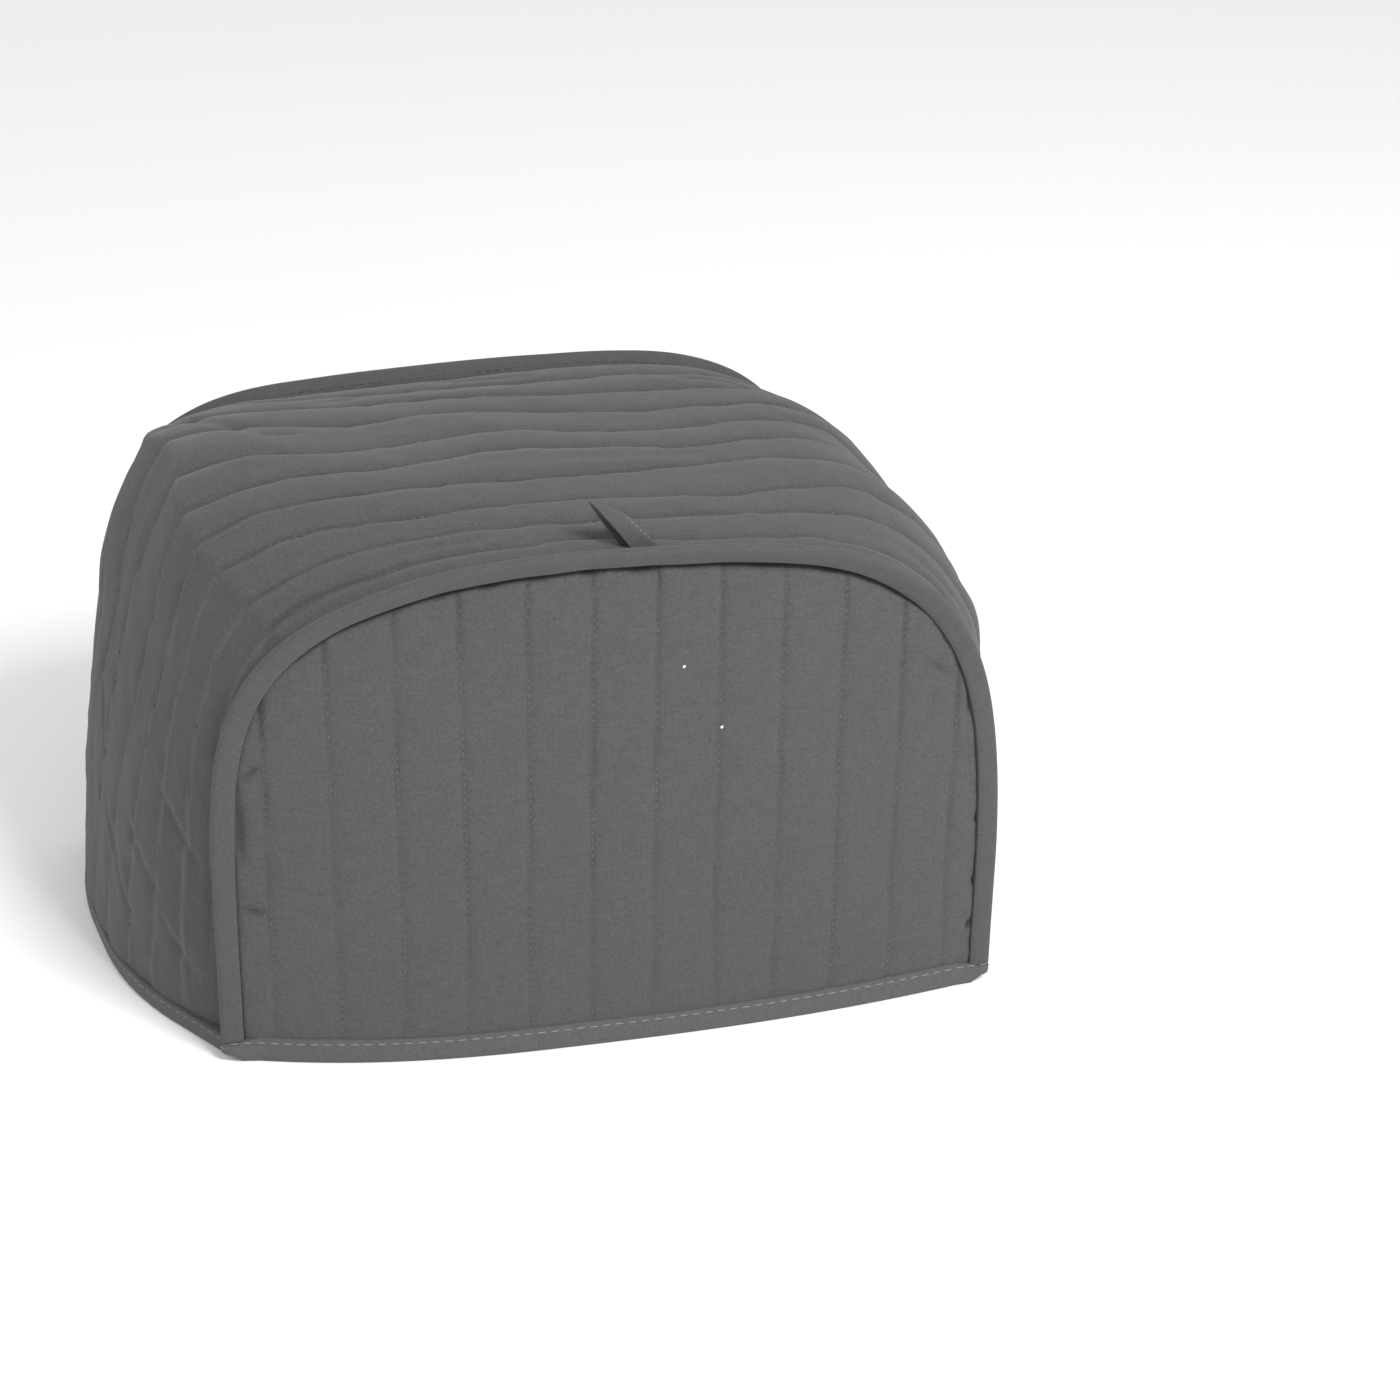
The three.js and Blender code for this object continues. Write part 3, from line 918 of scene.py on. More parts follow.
@dataclass
class QuiltedPanel:
    """An arched panel of quilted cloth, with upright channels and a seam round its arch."""

    builder: Builder
    name: str
    node: str
    face: Face
    first_row: float
    seed: int
    channel: float = 24.0
    rows: int = 12
    puff: float = 0.8
    puff_power: float = 5.0
    border: float = 11.0
    groove: float = 4.2
    groove_floor: float = 2.0
    groove_width: float = 1.7
    # Painted shade in the seam groove.
    groove_shade: float = 2.6
    side_groove: float = 0.15
    # Painted shade in the creases.
    crease_shade: float = 1.2
    groove_least: float = 0.10
    side_width: float = 0.7
    crown_from: float = 0.80
    crown_soft: float = 36.0
    seam_puff: float = 0.25
    hem_puff: float = 0.35
    # Painted shade along the rows of stitches: its width, its strength, and how much more it gets
    # towards the top and near the seam.
    row_width: float = 0.9
    row_shade: float = 0.45
    row_shade_up: float = 0.35
    row_shade_seam: float = 0.8
    seam_reach: float = 9.0
    corner_share: float = 0.3
    columns: int = 190
    levels: int = 132
    seam_samples: int = 500
    row_samples: int = 400
    stitch: tuple = (1.5, 0.42, 0.34)
    stitch_pitch: float = 3.1
    stitch_room: float = 3.0
    wander: Hills = Hills(0.7, 24.0, 60.0, 0)
    loft: Hills = Hills(0.25, 24.0, 45.0, 1)
    hills: tuple = (Hills(0.30, 31.0, 52.0, 2), Hills(0.12, 9.0, 13.0, 4))
    gathers: Hills = Hills(0.55, 7.5, 9.0, 3)
    waver: Hills = Hills(0.32, 11.0, 15.0, 5)
    # Random changes in the strength of the painted shade along the rows.
    wear: Hills = Hills(0.5, 24.0, 16.0, 6)
    creases: tuple = ()

    def patch(self, u: Array, v: Array) -> tuple[Array, Array]:
        """Spreads a square evenly over the space under the arch.

        Args:
            u: each point's share across the square.
            v: each point's share up the square.

        Returns:
            The x and z of each point.
        """
        arch = self.face.arch
        corner = self.corner_share
        spots = np.array(arch.line(np.array([0.0, 1.0, corner, 1 - corner])))
        low_left, low_right, high_left, high_right = np.split(spots, 4, 1)
        left = np.array(arch.line(corner * v))
        right = np.array(arch.line(1 - corner * v))
        top = np.array(arch.line(corner + (1 - 2 * corner) * u))
        bottom = low_left + (low_right - low_left) * u
        sides = (1 - u) * left + u * right
        ends = (1 - v) * bottom + v * top
        corners = (1 - u) * (1 - v) * low_left + u * (1 - v) * low_right
        corners = corners + (1 - u) * v * high_left + u * v * high_right
        x, z = sides + ends - corners
        return x, np.maximum(z, arch.foot)

    def room(self, x: Array, z: Array) -> Array:
        """How far each point is from the arch seam, roughly."""
        arch = self.face.arch
        line_x, line_z = arch.line(np.linspace(0, 1, self.seam_samples))
        nearest = np.full(x.shape, np.inf)
        for a, b in zip(line_x, line_z):
            nearest = np.minimum(nearest, (x - a) ** 2 + (z - b) ** 2)
        return np.sqrt(nearest)

    def row_shift(self, x: Array, z: Array) -> Array:
        """How far the sewn rows wander sideways."""
        return self.wander.at(x, z, self.seed)

    def surface(self, x: Array, z: Array) -> tuple[Array, Array, Array]:
        """The quilted face.

        Args:
            x: each point's x.
            z: each point's z.

        Returns:
            The points, how plump the cloth is, and how much painted shade each point gets along the
            rows of stitches, in the seam groove and in the creases, from 0 upwards.
        """
        phase = (x + self.row_shift(x, z) - self.first_row) / self.channel
        share = phase - np.floor(phase)
        plump = 1 - np.abs(2 * share - 1) ** self.puff_power
        seam = self.room(x, z)
        open_cloth = smoothstep(seam, self.border)
        at_hem = smoothstep(z - self.face.arch.foot, self.border)
        rise = self.puff * plump * at_least(self.seam_puff, open_cloth)
        rise = rise * at_least(self.hem_puff, at_hem)
        rise = rise * (1 + self.loft.at(x, z, self.seed))
        for hills in self.hills:
            rise = rise + hills.at(x, z, self.seed)
        rise = rise + self.gathers.at(x + z, x - z, self.seed) * hump(seam, self.seam_reach)
        pinched = np.zeros(x.shape)
        for crease in self.creases:
            depth = crease.depth_at(x, z)
            rise = rise - depth
            pinched = np.maximum(pinched, depth)
        height = self.face.arch.height
        crown = smoothstep(z - self.crown_from * height, self.crown_soft)
        waver = 1 + self.waver.at(x + z, x - z, self.seed)
        floor = self.groove_floor * at_least(self.groove_least, crown)
        width = self.groove_width * at_least(self.side_width, crown)
        dip = 1 - smoothstep(seam / waver - floor, width)
        dip = dip * at_least(self.side_groove, crown)
        rise = rise - self.groove * dip
        y = self.face.at(x, z) + self.face.side.value * rise
        # Painted shade along the rows of stitches, stronger towards the top and near the seam, its
        # strength varied at random by the wear hills.
        near = hump(np.minimum(share, 1 - share) * self.channel, self.row_width)
        shade = self.row_shade + self.row_shade_up * z / height
        near = near * (shade + self.row_shade_seam * hump(seam, self.seam_reach))
        near = near * (1 + self.wear.at(x, z, self.seed))
        # Painted shade in the seam groove under the tape and in the creases.
        near = np.maximum(near, self.groove_shade * dip)
        near = np.maximum(near, self.crease_shade * pinched)
        return np.stack([x, y, z], 1), plump * open_cloth, near

    def build(self) -> bpy.types.Object:
        """Builds the panel's cloth."""
        builder = self.builder
        piece = builder.grid(self.name, self.columns, self.levels)
        x, z = self.patch(*builder.shares(piece))
        points, plump, near = self.surface(x, z)
        builder.drape(piece, points, np.stack([x, z], 1))
        builder.quilt(piece, plump, near, np.array([0.0, self.face.side.value, 0.0]))
        return piece

    def sew(self) -> bpy.types.Object:
        """Builds the rows of quilting stitches."""
        arch = self.face.arch
        room = self.stitch_room
        inside = np.linspace(arch.foot + 2, arch.height, self.row_samples)
        left = arch.reach_at(-1, inside / arch.height) + room
        right = arch.reach_at(1, inside / arch.height) - room
        centres, tangents = [], []
        for k in range(self.rows):
            row_x = self.first_row + k * self.channel
            fits = (row_x > left) & (row_x < right)
            if not fits.any():
                continue
            z = np.arange(arch.foot + room, inside[fits].max() - room, self.stitch_pitch)
            x = np.full(z.shape, row_x)
            x = x - self.row_shift(x, z)
            points, _, _ = self.surface(x, z)
            centres.append(points[1:-1])
            tangents.append(points[2:] - points[:-2])
        centres, tangents = np.concatenate(centres), np.concatenate(tangents)
        outwards = np.zeros(centres.shape)
        outwards[:, 1] = self.face.side.value
        name = self.name + "_quilting"
        return self.builder.dashes(name, centres, tangents, outwards, self.stitch)


@dataclass
class Gusset:
    """The long strip over the top, its channels along it, creased and a little slumped."""

    builder: Builder
    name: str = "gusset_cloth"
    node: str = "gusset"
    columns: int = 138
    rows: int = 336
    flat_width: float = 216.0
    puff: float = 1.3
    puff_power: float = 5.0
    seam_puff: float = 0.3
    arch_puff: float = 0.8
    full_width: float = 20.0
    least_size: float = 0.3
    most_size: float = 1.2
    crest: float = 0.32
    crest_off: float = 2.1
    crest_width: float = 1.1
    gather_reach: float = 4.0
    row_width: float = 1.1
    border: float = 9.0
    stitch: tuple = (1.5, 0.42, 0.34)
    stitch_pitch: float = 3.1
    stitch_ends: float = 0.015
    inner_place: tuple = (-14.0, 98.0, 60.0)

    lift: Hills = Hills(0.45, 48.0, 1.0, 21)
    slump: Hills = Hills(0.60, 34.0, 26.0, 22)
    hills: tuple = (Hills(0.22, 13.0, 8.0, 23), Hills(0.10, 6.0, 4.5, 26))
    gathers: Hills = Hills(0.45, 9.0, 1.0, 24)
    waves: tuple = (Hills(0.008, 0.045, 1.0, 11), Hills(0.004, 0.018, 1.0, 12))
    row_seed: float = 40.0

    top_before: float = 0.008
    top_soft: float = 0.012
    # Painted highlights beside the rows on the top and along the rows and creases on the left wall,
    # and painted shade over the left wall.
    crest_light_off: float = 2.2
    crest_light_width: float = 0.9
    wall_share: float = 0.30
    wall_light: float = 0.9
    wall_shade: float = 0.2
    crest_light: float = 0.45

    # A trough beside the front seam near the fold, with painted shade in it.
    crook_along: float = 0.285
    crook_reach: float = 34.0
    crook_width: float = 2.4
    crook_depth: float = 1.8
    crook_shade: float = 2.2

    # Where the rows of stitches are across the strip, from the front seam to the back seam, at
    # places along it from the left hem over the fold and the top to the right hem
    places: tuple = (0.0, 0.10, 0.19, 0.285, 0.40, 0.47, 0.58, 0.69, 0.80, 1.0)
    lines: tuple = (
        (0.045, 0.050, 0.055, 0.060, 0.065, 0.075, 0.060, 0.080, 0.085, 0.090),
        (0.140, 0.130, 0.120, 0.130, 0.135, 0.140, 0.140, 0.190, 0.190, 0.195),
        (0.240, 0.210, 0.200, 0.210, 0.205, 0.225, 0.215, 0.300, 0.290, 0.300),
        (0.340, 0.310, 0.285, 0.285, 0.310, 0.315, 0.340, 0.430, 0.400, 0.410),
        (0.475, 0.420, 0.370, 0.390, 0.405, 0.460, 0.440, 0.535, 0.500, 0.510),
        (0.600, 0.550, 0.525, 0.505, 0.505, 0.575, 0.535, 0.625, 0.600, 0.610),
        (0.700, 0.650, 0.600, 0.700, 0.660, 0.710, 0.645, 0.715, 0.695, 0.705),
        (0.800, 0.770, 0.730, 0.820, 0.780, 0.800, 0.755, 0.805, 0.795, 0.800),
        (0.905, 0.890, 0.870, 0.920, 0.890, 0.880, 0.870, 0.895, 0.890, 0.900),
    )
    creases: tuple = (
        Crease((0.300, 0.90), (0.348, 0.60), 3.0, 1.6),
        Crease((0.348, 0.60), (0.372, 0.615), 2.6, 1.2),
        Crease((0.150, 0.245), (0.112, 0.09), 1.6, 1.1),
        Crease((0.105, 0.36), (0.070, 0.20), 1.6, 0.9),
        Crease((0.095, 0.50), (0.035, 0.30), 1.7, 0.9),
        Crease((0.060, 0.20), (0.030, 0.10), 1.5, 0.8),
        Crease((0.170, 0.62), (0.110, 0.52), 1.6, 0.9),
        Crease((0.215, 0.265), (0.275, 0.30), 1.8, 1.0),
        Crease((0.120, 0.055), (0.055, 0.060), 1.6, 1.4),
        Crease((0.375, 0.100), (0.440, 0.105), 1.6, 1.0),
        Crease((0.395, 0.82), (0.430, 0.86), 2.6, 1.0),
        Crease((0.470, 0.93), (0.540, 0.90), 2.2, 0.9),
        Crease((0.610, 0.84), (0.665, 0.81), 2.0, 0.9),
        Crease((0.450, 0.385), (0.620, 0.385), 5.0, 0.8),
        Crease((0.650, 0.045), (0.760, 0.040), 1.2, 0.9),
        Crease((0.690, 0.130), (0.770, 0.120), 1.6, 1.0),
        Crease((0.731, 0.70), (0.738, 0.40), 20.0, 4.2),
        Crease((0.775, 0.27), (0.805, 0.19), 24.0, -2.6),
        Crease((0.190, 0.80), (0.272, 0.78), 26.0, -2.2),
        Crease((0.860, 0.35), (0.920, 0.46), 3.0, 1.2),
        Crease((0.930, 0.62), (0.970, 0.72), 3.0, 1.0),
    )

    def line_at(self, row: tuple, along: Array) -> Array:
        """Where a row of stitches is across the strip, as a smooth line with small waves."""
        knots = np.array(self.places)
        steps = np.clip(np.searchsorted(knots, along, side="right") - 1, 0, len(knots) - 2)
        share = smoothstep((along - knots[steps]) / (knots[steps + 1] - knots[steps]), 1.0)
        values = np.array(row)
        plain = np.interp(along, knots, values)
        eased = values[steps] + (values[steps + 1] - values[steps]) * share
        line = plain * 0.5 + eased * 0.5
        for waves in self.waves:
            line = line + waves.at(along, np.full(along.shape, row[0] * self.row_seed))
        return line

    def channel_share(self, along: Array, across: Array) -> tuple[Array, Array, Array]:
        """Which channel each place is in.

        Args:
            along: each place along the strip.
            across: each place across the strip.

        Returns:
            The channel's number, the share across it, and its width in millimetres.
        """
        borders = [np.zeros(along.shape)]
        borders += [self.line_at(row, along) for row in self.lines]
        borders.append(np.ones(along.shape))
        borders = np.stack(borders)
        number = np.clip((across[None] >= borders).sum(0) - 1, 0, len(borders) - 2)
        low = np.take_along_axis(borders, number[None], 0)[0]
        high = np.take_along_axis(borders, number[None] + 1, 0)[0]
        share = np.clip((across - low) / (high - low), 0, 1)
        return number, share, (high - low) * self.builder.form.depth

    def surface(self, along: Array, across: Array) -> tuple[Array, Array, Array]:
        """The quilted strip.

        Args:
            along: each place along the strip.
            across: each place across the strip.

        Returns:
            The points, how plump the cloth is, and how much painted shade each point gets; below 0
            it is a painted highlight.
        """
        form = self.builder.form
        number, share, width = self.channel_share(along, across)
        plump = 1 - np.abs(2 * share - 1) ** self.puff_power
        room = form.depth * np.minimum(across, 1 - across)
        open_cloth = smoothstep(room, self.border)
        mm_along = along * form.strip_length
        mm_across = across * form.depth
        past_fold = along - form.fold_place(across) + self.top_before
        on_top = smoothstep(past_fold, self.top_soft)
        on_wall = 1 - on_top
        lift = (1 + self.lift.at(mm_along, number)) * at_least(self.wall_share, on_top)
        size = np.clip(width / self.full_width, self.least_size, self.most_size)
        rise = self.puff * plump * lift * size * at_least(self.seam_puff, open_cloth)
        rise = rise + self.arch_puff * (1 - (2 * share - 1) ** 2) * size * open_cloth * lift
        crest = hump((1 - share) * width - self.crest_off, self.crest_width)
        rise = rise + self.crest * crest * open_cloth
        rise = rise + form.fold(along, across)
        rise = rise + self.slump.at(mm_along, mm_across) * open_cloth
        for hills in self.hills:
            rise = rise + hills.at(mm_along, mm_across)
        to_row = np.minimum(share, 1 - share) * width
        rise = rise + self.gathers.at(mm_along, number) * hump(to_row, self.gather_reach)
        pinched = np.zeros(along.shape)
        for crease in self.creases:
            depth = crease.depth_at(along, across, (form.strip_length, form.depth)) * open_cloth
            rise = rise - depth
            pinched = np.maximum(pinched, np.minimum(depth, 1.0))
        crook = hump(mm_along - self.crook_along * form.strip_length, self.crook_reach)
        crook = crook * hump(mm_across, self.crook_width)
        rise = rise - self.crook_depth * crook
        points = form.gusset(along, across) + form.gusset_normal(along, across) * rise[:, None]
        foot = form.front.foot
        points[:, 2] = np.where((along <= 0) | (along >= 1), foot, np.maximum(points[:, 2], foot))
        # Painted shade along the rows on the top; on the left wall the rows get a painted highlight
        # and the whole wall a painted shade.
        sewn = (number > 0) | (share > 0.5)
        near = hump(to_row, self.row_width) * sewn
        near = near * (on_top - self.wall_light * on_wall) + self.wall_shade * on_wall
        # A painted highlight beside each row on the top and in the left wall's creases.
        light = hump((1 - share) * width - self.crest_light_off, self.crest_light_width)
        near = near - self.crest_light * light * on_top * open_cloth
        near = near - self.wall_light * pinched * on_wall
        # Painted shade in the crook.
        near = near + self.crook_shade * crook
        return points, plump * open_cloth, near

    def build(self) -> bpy.types.Object:
        """Builds the gusset's cloth."""
        builder = self.builder
        piece = builder.grid(self.name, self.columns, self.rows)
        across, along = builder.shares(piece)
        points, plump, near = self.surface(along, across)
        flat = np.stack([across * self.flat_width, along * builder.form.strip_length], 1)
        builder.drape(piece, points, flat)
        inner = builder.place(np.array(self.inner_place))
        builder.quilt(piece, plump, near, builder.faces(piece, "center") - inner)
        return piece

    def sew(self) -> bpy.types.Object:
        """Builds the rows of quilting stitches."""
        form = self.builder.form
        steps = int(form.strip_length / self.stitch_pitch)
        centres, tangents, outwards = [], [], []
        for row in self.lines:
            along = np.linspace(self.stitch_ends, 1 - self.stitch_ends, steps)
            across = self.line_at(row, along)
            points, _, _ = self.surface(along, across)
            centres.append(points[1:-1])
            tangents.append(points[2:] - points[:-2])
            outwards.append(form.gusset_normal(along[1:-1], across[1:-1]))
        return self.builder.dashes(
            self.name + "_quilting",
            np.concatenate(centres),
            np.concatenate(tangents),
            np.concatenate(outwards),
            self.stitch,
        )


@dataclass
class SeamTape:
    """Tape folded over a seam that is turned outwards, all round an arch."""

    builder: Builder
    name: str
    node: str
    face: Face
    crown_lean: float
    left_lean: float
    right_lean: float
    seed: int
    width: float = 8.6
    seat: float = 0.2
    proud: float = 1.3
    stations: int = 420
    stitch_pitch: float = 4.2
    stitch: tuple = (3.0, 0.55, 0.5)
    stitch_out: float = 2.4
    stitch_ends: float = 0.01
    lean_height: float = 70.0
    slope_step: float = 0.005
    wave_length: float = 600.0
    sway: Hills = Hills(0.07, 26.0, 1.0, 0)
    width_waves: Hills = Hills(0.03, 38.0, 1.0, 1)
    plump_waves: Hills = Hills(0.10, 13.0, 1.0, 2)
    # One side of the tape's section: how far out, as a share of its width, and how thick there
    half_section: tuple = (
        (0.00, 0.42), (0.05, 0.50), (0.30, 0.50), (0.60, 0.50), (0.80, 0.47), (0.92, 0.36),
        (0.975, 0.18),
    )
    tip: tuple = (0.985, 0.00)

    def waves_at(self, waves: Hills, along: Array) -> Array:
        """Slow waves along the tape."""
        return waves.at(along * self.wave_length, along * 0, self.seed)

    def frame_at(self, along: Array) -> tuple[Array, Array, Array]:
        """The seam at places along it.

        Args:
            along: from 0 at the left foot to 1 at the right foot.

        Returns:
            The seam's points, which way the tape stands there, and which way its thickness runs.
        """
        arch = self.face.arch
        step = self.slope_step
        x, z = arch.line(along)
        before = np.array(arch.line(np.clip(along - step, 0, 1)))
        after = np.array(arch.line(np.clip(along + step, 0, 1)))
        run = after - before
        run /= np.linalg.norm(run, axis=0)
        radial = np.stack([-run[1], np.zeros(along.shape), run[0]], 1)
        side = self.face.side.value
        side_lean = np.where(along < 0.5, self.left_lean, self.right_lean)
        lean = side_lean + (self.crown_lean - side_lean) * np.clip(radial[:, 2], 0, 1) ** 2
        lean = lean * smoothstep(z - arch.foot, self.lean_height)
        lean = lean + self.waves_at(self.sway, along)
        outwards = np.array([0.0, side, 0.0])
        stand = radial * np.cos(lean)[:, None] + outwards * np.sin(lean)[:, None]
        thick = outwards * np.cos(lean)[:, None] - radial * np.sin(lean)[:, None]
        middle = side * (self.proud - self.builder.form.seam) / 2
        foot = np.stack([x, self.face.at(x, z) + middle, z], 1) + radial * self.seat
        return foot, stand, thick

    def build(self) -> bpy.types.Object:
        """Builds the tape."""
        along = np.linspace(0.0, 1.0, self.stations)
        foot, stand, thick = self.frame_at(along)
        whole = self.proud + self.builder.form.seam
        width = self.width * (1 + self.waves_at(self.width_waves, along))
        plump = 1 + self.waves_at(self.plump_waves, along)
        near_side = [(out, -share) for out, share in self.half_section]
        rings = []
        for out, share in [*near_side, self.tip, *self.half_section[::-1]]:
            across = thick * (whole * share * plump)[:, None]
            rings.append(foot + stand * (width * out)[:, None] + across)
        rings = np.stack(rings, 1)
        rings[0, :, 2] = rings[-1, :, 2] = self.face.arch.foot
        return self.builder.tube(self.name, rings, False)

    def sew(self) -> bpy.types.Object:
        """Builds the stitches along the tape's foot, on the side of the gusset."""
        count = int(self.face.arch.length() / self.stitch_pitch)
        along = np.linspace(self.stitch_ends, 1 - self.stitch_ends, count)
        foot, stand, thick = self.frame_at(along)
        half = (self.proud + self.builder.form.seam) / 2
        points = foot + stand * self.stitch_out - thick * half
        return self.builder.dashes(
            self.name + "_stitches",
            points[1:-1],
            points[2:] - points[:-2],
            thick[1:-1],
            self.stitch,
        )


@dataclass
class HemTape:
    """Tape folded round the bottom edge, turned out as a small ear at the end of each seam."""

    builder: Builder
    name: str = "hem_tape"
    node: str = "hem_binding"
    height: float = 8.0
    thickness: float = 5.0
    ear_length: float = 10.0
    ear_thickness: float = 5.8
    spacing: float = 1.8
    side_steps: int = 60
    rounding: float = 0.9
    flare: float = 4.0
    flare_reach: float = 34.0
    ear_lift: float = 3.4
    front_rise: float = 2.2
    stitch_pitch: float = 5.1
    stitch: tuple = (3.2, 0.46, 0.4)
    stitch_height: float = 6.3
    stitch_out: float = 0.2
    flare_power: float = 1.5
    front_from: float = 0.6
    front_soft: float = 0.35
    least_mitre: float = 0.5
    ear_steps: int = 9
    ear_root: float = 0.45
    face_swell: float = 0.25
    waver: Hills = Hills(0.22, 17.0, 1.0, 31)

    def centre_line(self) -> tuple[Array, list[int]]:
        """The closed line down the middle of the tape.

        Returns:
            Its points, anticlockwise from the front's left corner, and the corners' places.
        """
        form = self.builder.form
        inset = form.seam / 2
        shares = np.linspace(0, 1, self.side_steps + 1)
        front_x = form.front.line(np.array([0.0, 1.0]))[0]
        back_x = form.back.line(np.array([0.0, 1.0]))[0]
        foot = form.front.foot
        x = front_x[0] + inset + (front_x[1] - front_x[0] - 2 * inset) * shares
        front = np.stack([x, form.front_face.at(x, foot) + inset], 1)
        x = back_x[1] - inset + (back_x[0] - back_x[1] + 2 * inset) * shares
        back = np.stack([x, form.back_face.at(x, foot) - inset], 1)
        right = form.gusset(np.ones(shares.shape), shares)[1:-1, :2] - np.array([inset, 0.0])
        left = form.gusset(np.zeros(shares.shape), 1 - shares)[1:-1, :2] + np.array([inset, 0.0])
        corners = [side * self.side_steps for side in range(4)]
        return np.concatenate([front, right, back, left]), corners

    def outlines(self) -> tuple[Array, Array, Array]:
        """The tape's outer and inner lines.

        Returns:
            The outer line with its ears, the inner line, and whether each place is on an ear.
        """
        path, corners = self.centre_line()
        before, after = np.roll(path, 1, 0), np.roll(path, -1, 0)
        one, two = unit(path - before), unit(after - path)
        normal = unit(np.stack([one[:, 1] + two[:, 1], -one[:, 0] - two[:, 0]], 1))
        mitre = (normal * np.stack([one[:, 1], -one[:, 0]], 1)).sum(1)
        mitre = np.maximum(mitre, self.least_mitre)
        half = self.thickness / 2
        from_corner = np.linalg.norm(path - path[0], axis=1)
        on_left = np.arange(len(path)) > corners[3]
        flare = np.clip(1 - from_corner / self.flare_reach, 0, 1) ** self.flare_power
        flare = self.flare * flare * on_left
        outer_line = path + normal * (half / mitre + flare)[:, None]
        inner_line = path - normal * (half / mitre)[:, None]
        outer, inner, ear = [], [], []
        radius = self.ear_thickness / 2
        for k in range(len(path)):
            if k not in corners:
                outer.append(outer_line[k])
                inner.append(inner_line[k])
                ear.append(0.0)
                continue
            side = -1 if k in (corners[0], corners[3]) else 1
            tip = path[k] + np.array([side * (self.ear_length - radius), 0.0])
            turns = np.linspace(-np.pi / 2, np.pi / 2, self.ear_steps)
            shares = [0.0, self.ear_root, *np.ones(self.ear_steps), self.ear_root, 0.0]
            if side < 0:
                turns = turns + np.pi
            root = path[k] + np.array([side * half, 0.0])
            arc = [tip + radius * np.array([math.cos(t), math.sin(t)]) for t in turns]
            first = root + np.array([0.0, arc[0][1] - tip[1]])
            last = root + np.array([0.0, arc[-1][1] - tip[1]])
            points = [first, (first + arc[0]) / 2, *arc, (last + arc[-1]) / 2, last]
            for point, share in zip(points, shares):
                outer.append(point)
                inner.append(inner_line[k])
                ear.append(share)
        return np.array(outer), np.array(inner), np.array(ear)

    def front_share(self, outwards: Array) -> Array:
        """How far each place counts as the front, from its outward direction."""
        return smoothstep(-outwards[:, 1] - self.front_from, self.front_soft)

    def build(self) -> bpy.types.Object:
        """Builds the tape."""
        outer, inner, ear = self.outlines()
        r = self.rounding / self.thickness
        h = self.height
        edge = self.rounding
        section = (
            (0.0, edge), (0.3 * r, 0.3 * edge), (r, 0.0), (0.5, 0.0), (1 - r, 0.0),
            (1 - 0.3 * r, 0.3 * edge), (1.0, edge), (1.0, h / 3), (1.0, 2 * h / 3),
            (1.0, h - edge / 2), (1 - 0.4 * r, h), (0.5, h), (0.4 * r, h),
            (0.0, h - edge / 2), (0.0, 2 * h / 3), (0.0, h / 3),
        )
        run = np.arange(len(outer)) * self.spacing * 2
        waver = self.waver.at(run, run * 0)
        outwards = unit(outer - inner)
        front = self.front_share(outwards)
        rings = []
        for share, z in section:
            flat = outer * (1 - share) + inner * share
            low = self.ear_lift * ear * (1 - share) * (1 - z / h)
            lift = waver + self.front_rise * front if z > h / 2 else low
            on_face = share == 0.0
            swell = self.face_swell * math.sin(math.pi * min(z / h, 1.0)) * on_face
            flat = flat + outwards * swell
            rings.append(np.concatenate([flat, (z + lift)[:, None]], 1))
        return self.builder.tube(self.name, np.stack(rings, 1), True)

    def sew(self) -> bpy.types.Object:
        """Builds the topstitching near the tape's upper edge."""
        outer, _, _ = self.outlines()
        closed = np.concatenate([outer, outer[:1]])
        run = run_of(closed)
        places = np.arange(0.0, run[-1] - self.stitch_pitch, self.stitch_pitch)
        spots = np.stack([np.interp(places, run, closed[:, k]) for k in (0, 1)], 1)
        ahead = np.stack([np.interp(places + 0.5, run, closed[:, k]) for k in (0, 1)], 1)
        tangent = ahead - spots
        outwards = unit(np.stack([tangent[:, 1], -tangent[:, 0], np.zeros(len(spots))], 1))
        height = self.stitch_height + self.front_rise * self.front_share(outwards)
        centres = np.concatenate([spots, height[:, None]], 1) + outwards * self.stitch_out
        tangent = np.concatenate([tangent, np.zeros((len(spots), 1))], 1)
        return self.builder.dashes(self.name + "_stitches", centres, tangent, outwards, self.stitch)


